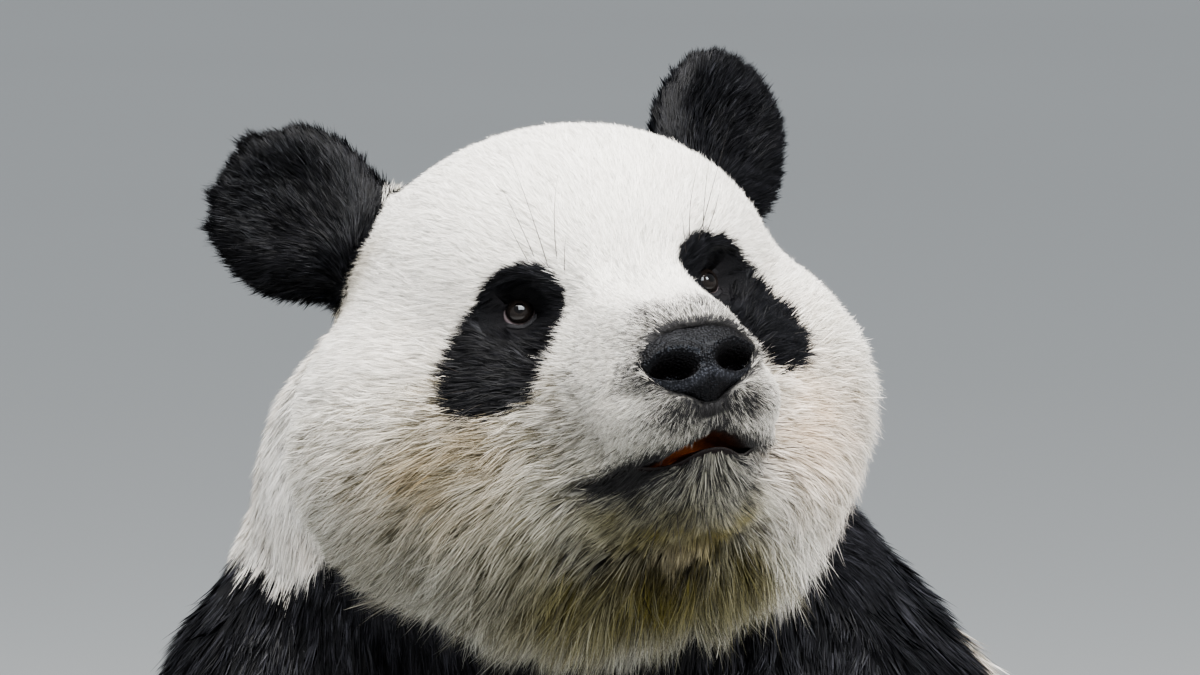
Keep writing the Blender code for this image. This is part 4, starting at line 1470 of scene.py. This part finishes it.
# ---- nose pad
NOSE_CENTRE = np.array((-0.0032, 0.1130, -0.0635))
NOSE_SIZE = np.array((0.0395, 0.022, 0.0262))
NOSTRIL = np.array((0.0194, 0.0150, -0.0012))
PIT_WAY = unit(np.array((0.0, 1.0, 0.25)))
# Painted light on the pad: a bluish highlight on the nostrils' rims, a lighter top, and painted shade in
# the pits.
PAD_RIM_HIGHLIGHT = np.array((0.050, 0.053, 0.064))
PAD_TOP_HIGHLIGHT = np.array((0.018, 0.018, 0.020))
PAD_PIT_SHADE = np.array((0.004, 0.003, 0.003))


def pad_frame(local):
    """Coordinates in the tilted frame of the nose pad."""
    offset = local - NOSE_CENTRE
    c, s = math.cos(NOSE_TILT), math.sin(NOSE_TILT)
    across, out, up = offset.T
    return np.stack([across, c * out + s * up, -s * out + c * up], 1)


def from_pad(pad):
    """The way back from pad_frame."""
    c, s = math.cos(NOSE_TILT), math.sin(NOSE_TILT)
    across, out, up = pad.T
    return np.stack([across, c * out - s * up, s * out + c * up], 1) + NOSE_CENTRE


def pad_narrowing(height):
    """The pad's width there, as a share of its widest: it runs down to a narrow foot."""
    return 1.0 - 0.16 * ramp(height, 0.004, -0.009) - 0.42 * ramp(height, -0.008, -0.022)


def pad_distance(local):
    """Below 1 where the nose pad covers the skin."""
    pad = pad_frame(local)
    wide = NOSE_SIZE[0] * pad_narrowing(pad[:, 2])
    away = np.sqrt((pad[:, 0] / wide) ** 2 + (pad[:, 2] / NOSE_SIZE[2]) ** 2)
    return np.where(local[:, 1] > 0.085, away, 9.0)


def sphere_grid(columns, rows):
    """Unit directions and quads of a sphere whose poles lie to the sides."""
    theta = np.linspace(0.0, math.pi, rows + 1)[1:-1]
    phi = np.linspace(0.0, 2.0 * math.pi, columns, endpoint=False)
    t, p = np.meshgrid(theta, phi, indexing="ij")
    points = np.stack([np.cos(t), np.sin(t) * np.cos(p), np.sin(t) * np.sin(p)], 2).reshape(-1, 3)
    points = np.concatenate([points, [(1.0, 0.0, 0.0), (-1.0, 0.0, 0.0)]])
    faces = [(a, d, c, b) for a, b, c, d in ring_faces(rows - 1, columns)]
    first, last = len(points) - 2, len(points) - 1
    base = (rows - 2) * columns
    for j in range(columns):
        k = (j + 1) % columns
        faces += [(first, j, k), (last, base + k, base + j)]
    return points, faces


def nose_look():
    """Leathery nose pad: fine pebbling and damp sheen. Its tint holds painted highlights on the rims and
    top, and painted shade in the pits.
    """
    look = Look("nose_leather", Specular_IOR_Level=0.10, Specular_Tint=(0.82, 0.88, 1.0, 1.0))
    pebble = look.cells(620.0)
    look.wear_tint(look.fit(pebble, 0.0, 0.6, 1.8, 0.4))
    look.roughness(look.grain(260.0, 4.0, 0.24, 0.50))
    look.bump(look.fit(pebble, 0.0, 0.7, 1.0, 0.0), 0.0006)
    return look.material


def nostrils(pad, facing):
    """How far the nose pad is pushed along PIT_WAY at each place, its pits, and its rims' upper halves."""
    front = ramp(facing, 0.0, 0.35)
    side, height = np.abs(pad[:, 0]), pad[:, 2]
    slant = height - NOSTRIL[2] - 0.10 * (side - NOSTRIL[0])
    u = (side - NOSTRIL[0]) / 0.0152
    v = slant / (0.0092 - 0.0026 * ramp(side, 0.016, 0.035))
    away = np.sqrt(u**2 + v**2)
    pit = (1.0 - ramp(away, 0.30, 1.02)) * front
    rim = bell((away - 1.30) / 0.24) * front
    slit = bell(slant / 0.0020) * ramp(side, 0.026, 0.030) * ramp(pad[:, 1], -0.008, 0.004)
    groove = bell(side / 0.0016) * ramp(height, 0.008, -0.006) * front
    dip = bell(side / 0.0075) * ramp(height, -0.008, 0.022) * front
    push = -0.0175 * pit + 0.0014 * rim - 0.0016 * slit - 0.0016 * groove - 0.0012 * dip
    return push, pit, np.clip(rim, 0.0, 1.0) * ramp(v, 0.0, -0.8)


def make_nose():
    """The pad with two deep nostrils, a groove down its middle and rolled rims."""
    ball_points, faces = sphere_grid(168, 120)
    pad = ball_points * NOSE_SIZE
    pad[:, 0] *= pad_narrowing(pad[:, 2])
    pad[:, 2] *= 1.0 + 0.10 * bell((np.abs(ball_points[:, 0]) - 0.70) / 0.25) * ramp(pad[:, 2], -0.01, 0.01)
    push, pit, rim = nostrils(pad, ball_points[:, 1])
    pad = pad + PIT_WAY * push[:, None]
    pad += ball_points * (0.00025 * ripple(ball_points, 0.22, 21))[:, None]
    # Painted highlights on the rims and the top, and painted shade in the nostrils' pits.
    tint = np.broadcast_to(PAD, pad.shape)
    tint = mix(tint, PAD_RIM_HIGHLIGHT, 0.55 * rim)
    tint = mix(tint, PAD_TOP_HIGHLIGHT, 0.5 * ramp(pad[:, 2], 0.010, 0.024))
    tint = mix(tint, PAD_PIT_SHADE, np.clip(pit * 1.4, 0.0, 1.0))
    piece = show("nose_pad", from_head(from_pad(pad)), faces, nose_look(), tint)
    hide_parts("nose")


# ---- eyes
GAZE_IN = math.radians(3.0)
GAZE_UP = 0.19
IRIS = math.radians(41.0)
PUPIL = math.radians(12.5)
CORNEA_RISE = 0.0013


def eye_look():
    """Dark brown iris with a fine grain, black pupil, pinkish white, and a clear wet coat over all."""
    look = Look(
        "eye_wet",
        Roughness=0.06,
        Specular_IOR_Level=0.30,
        Coat_Weight=0.4,
        Coat_Roughness=0.02,
        Coat_IOR=1.38,
    )
    total = look.node("ShaderNodeMath", operation="ADD")
    look.link(look.attribute("off_axis", "Fac"), total.inputs[0])
    look.link(look.grain(900.0, 4.0, -0.02, 0.02), total.inputs[1])
    stops = [
        (0.0, (0.002, 0.002, 0.002)),
        (PUPIL, (0.003, 0.002, 0.002)),
        (PUPIL + 0.03, (0.018, 0.014, 0.012)),
        (IRIS * 0.74, (0.014, 0.011, 0.010)),
        (IRIS * 0.95, (0.006, 0.005, 0.005)),
        (IRIS + 0.03, (0.16, 0.12, 0.12)),
        (IRIS + 0.10, (0.42, 0.35, 0.37)),
        (1.0, (0.16, 0.10, 0.10)),
    ]
    look.colour(look.colours(total.outputs["Value"], stops))
    return look.material


def make_eye(side, sign, look):
    """An eyeball with a bulging cornea, turned to look up and ahead."""
    turned = EYE_OUTWARD - GAZE_IN
    gaze = unit(turn_from_head((sign * math.sin(turned), math.cos(turned), GAZE_UP)))
    points, faces = sphere_grid(96, 64)
    points = points @ np.array(Vector((1, 0, 0)).rotation_difference(Vector(gaze)).to_matrix()).T
    off = np.arccos(np.clip(points @ gaze, -1.0, 1.0))
    bulge = np.sqrt(np.clip(1.0 - (off / (IRIS * 1.08)) ** 2, 0.0, 1.0)) ** 1.6
    points = points * (EYE_RADIUS * 0.985 + CORNEA_RISE * bulge)[:, None]
    piece = show("eyeball_" + side, np.array(centre_of("eye_" + side)) + points, faces, look)
    number_layer(piece.data, "off_axis", off)
    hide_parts("eye_" + side)


# ---- tongue and claws
TONGUE_SIZE = np.array((0.0345, 0.0370, 0.0058))


def make_tongue():
    """The tongue's upper side, arched across and grooved down its middle."""
    look = Look("tongue_wet", Roughness=0.35, Specular_IOR_Level=0.5, Coat_Weight=0.3, Coat_Roughness=0.2)
    look.wear_tint(look.grain(800.0, 4.0, 0.75, 1.2))
    look.bump(look.cells(1500.0), 0.0004)
    points, faces = sphere_grid(64, 48)
    shape = points * TONGUE_SIZE
    shape[:, 2] -= 0.0012 * bell(points[:, 0] / 0.12) * (points[:, 2] > 0)
    shape[:, 2] += 0.06 * shape[:, 1] - 0.0042 - 4.0 * shape[:, 0] ** 2
    shape[:, 1] -= 0.001
    shape = from_head(shape + to_head(np.array([centre_of("tongue")]))[0])
    # Painted light and shade: the tongue's upper side is painted lighter, its underside darker.
    tint = mix(MOUTH, MOUTH * 1.5 + 0.03, ramp(points[:, 2], -0.5, 0.5))
    piece = show("tongue_top", shape, faces, look.material, tint)
    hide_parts("tongue")


def claw_look():
    look = Look("claw_horn", Specular_IOR_Level=0.5, Coat_Weight=0.15, Coat_Roughness=0.2)
    streak = look.noise(420.0, 5.0)
    stops = [(0.30, (0.020, 0.015, 0.012)), (0.55, (0.060, 0.045, 0.035)), (0.75, (0.16, 0.13, 0.10))]
    look.colour(look.colours(streak, stops))
    look.roughness(look.grain(160.0, 4.0, 0.22, 0.42))
    look.bump(streak, 0.0005)
    return look.material


CLAW_ROOT = 0.013
HIND_CLAW_ROOT = 0.027
CLAW_ARCH = 0.16
CLAW_RINGS = 14
CLAW_SIDES = 16


def make_claw(name, look):
    """A curved, tapered claw from inside the toe to the CAD claw's tip, flattened at its sides."""
    paw = name.replace("claw_fore", "forepaw").replace("claw_hind", "hind_foot").rsplit("_", 1)[0]
    solid = points_of(nodes[name].data)
    middle = solid.mean(0)
    offset = solid - middle
    axis = np.linalg.svd(offset)[2][0]
    axis = axis if axis @ (middle - np.array(centre_of(paw))) > 0 else -axis
    reached = offset @ axis
    tip = solid[np.argmax(reached)]
    buried = HIND_CLAW_ROOT if "hind" in name else CLAW_ROOT
    root = middle + axis * (reached.min() - buried) + np.array((0.0, 0.0, 0.002))
    arch = CLAW_ARCH * np.linalg.norm(tip - root)
    side = unit(np.cross(axis, (0.0, 0.0, 1.0)))
    above = np.cross(side, axis)
    thick = np.abs(offset @ side).max()
    turns = np.linspace(0.0, 2.0 * math.pi, CLAW_SIDES, endpoint=False)[:, None]
    ring = 0.85 * np.cos(turns) * side + 1.15 * np.sin(turns) * above
    rows = []
    for step in np.linspace(0.0, 1.0, CLAW_RINGS):
        centre = root + (tip - root) * step + above * (arch * step * (1.0 - step))
        rows.append(centre + ring * (thick * (1.0 - step**1.7) ** 0.8 + 0.0002))
    points = np.concatenate(rows)
    points[:, 2] = np.maximum(points[:, 2], FLOOR_CLEAR)
    faces = ring_faces(CLAW_RINGS, CLAW_SIDES)
    faces.append(tuple(range(CLAW_SIDES))[::-1])
    faces.append(tuple(range(len(points) - CLAW_SIDES, len(points))))
    piece = show("horn_" + name, points, faces, look)
    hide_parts(name)


def make_claws():
    look = claw_look()
    for name in sorted(nodes):
        if name.startswith("claw_"):
            make_claw(name, look)


# ---- long hairs
# Root in the head's (side, forward, up), direction in the same, and length.
LONG_HAIRS = (
    ((0.048, 0.028, 0.021), (0.30, 0.30, 1.0), 0.082),
    ((0.044, 0.029, 0.023), (0.10, 0.35, 1.0), 0.058),
    ((0.054, 0.026, 0.025), (0.20, 0.25, 1.0), 0.058),
    ((0.060, 0.024, 0.026), (0.45, 0.25, 1.0), 0.036),
    ((0.040, 0.032, 0.016), (-0.10, 0.40, 1.0), 0.030),
    ((0.100, 0.000, -0.040), (1.0, 0.45, 0.10), 0.034),
    ((0.104, 0.000, -0.028), (1.0, 0.40, 0.35), 0.030),
    ((0.096, 0.010, -0.050), (1.0, 0.50, -0.10), 0.032),
    ((0.052, 0.050, -0.112), (1.0, 0.35, -0.15), 0.038),
    ((0.056, 0.044, -0.118), (1.0, 0.25, -0.40), 0.034),
    ((0.044, 0.070, -0.100), (1.0, 0.50, -0.20), 0.026),
    ((0.040, 0.082, -0.096), (0.9, 0.70, -0.30), 0.024),
    ((0.020, 0.080, -0.146), (0.4, 0.50, -1.0), 0.036),
    ((0.032, 0.066, -0.146), (0.6, 0.40, -1.0), 0.034),
    ((0.008, 0.086, -0.142), (0.1, 0.60, -1.0), 0.040),
)
HAIR_RADIUS = 0.00034
HAIR_RINGS = 9
HAIR_SIDES = 3


def make_long_hairs(mesh):
    """Thin dark hairs at brows, patches, lips and chin, on both sides, a little uneven."""
    rng = np.random.default_rng(SEED + 5)
    surface = surface_of(mesh)
    turns = np.arange(HAIR_SIDES) * 2.0 * math.pi / HAIR_SIDES
    points, faces = [], []
    for _, sign in SIGNS:
        mirror = np.array((sign, 1.0, 1.0))
        for root, way, length in LONG_HAIRS:
            start = from_head(np.array(root) * mirror + rng.normal(0.0, 0.0012, 3))
            start = np.array(surface.find_nearest(Vector(start))[0])
            run = unit(turn_from_head(np.array(way) * mirror) + rng.normal(0.0, 0.08, 3))
            sag = unit(np.cross(run, rng.normal(size=3))) * rng.uniform(0.06, 0.20)
            sag = sag + np.array((0.0, 0.0, -0.10))
            length = length * rng.uniform(0.85, 1.12)
            side = unit(np.cross(run, (0.2, 0.3, 0.9)))
            other = np.cross(run, side)
            faces += ring_faces(HAIR_RINGS, HAIR_SIDES, len(points))
            for step in np.linspace(0.0, 1.0, HAIR_RINGS):
                centre = start + run * (length * step - 0.002) + sag * (length * step**2)
                size = HAIR_RADIUS * (1.0 - 0.85 * step)
                points.extend(centre + size * (math.cos(a) * side + math.sin(a) * other) for a in turns)
    look = Look("dark_hair", Roughness=0.4, Specular_IOR_Level=0.3)
    stops = [(0.3, (0.010, 0.008, 0.007)), (0.7, (0.030, 0.024, 0.020))]
    look.colour(look.colours(look.noise(300.0), stops))
    piece = show("long_hairs", np.array(points), faces, look.material)


# ---- build
def finish_skin(mesh, shares):
    """The skin's colours and materials: fur skin, and bare skin at lids, lips and mouth."""
    points = points_of(mesh)
    local = to_head(points)
    tint = skin_tint(points, local, shares, black_share(points, local, shares))
    bare, colour, _ = bare_parts(local)
    colour_layer(mesh, "tint", mix(tint, colour, bare))
    mesh.materials.append(skin_look())
    mesh.materials.append(bare_look())
    index = np.array([bare[list(p.vertices)].min() > 0.5 for p in mesh.polygons], np.int32)
    mesh.polygons.foreach_set("material_index", index)
    mesh.name = "panda_skin"
    skin = put("panda_skin", mesh)
    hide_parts(*FLESH)


def main():
    make_studio()
    mesh, owner = make_base()
    shares, fields = make_skin(mesh, owner)
    finish_skin(mesh, shares)
    make_nose()
    look = eye_look()
    for side, sign in SIGNS:
        make_eye(side, sign, look)
    make_tongue()
    make_claws()
    make_long_hairs(mesh)
    make_coat(mesh, owner, shares, fields, (white_fur_look(), black_fur_look()))


main()
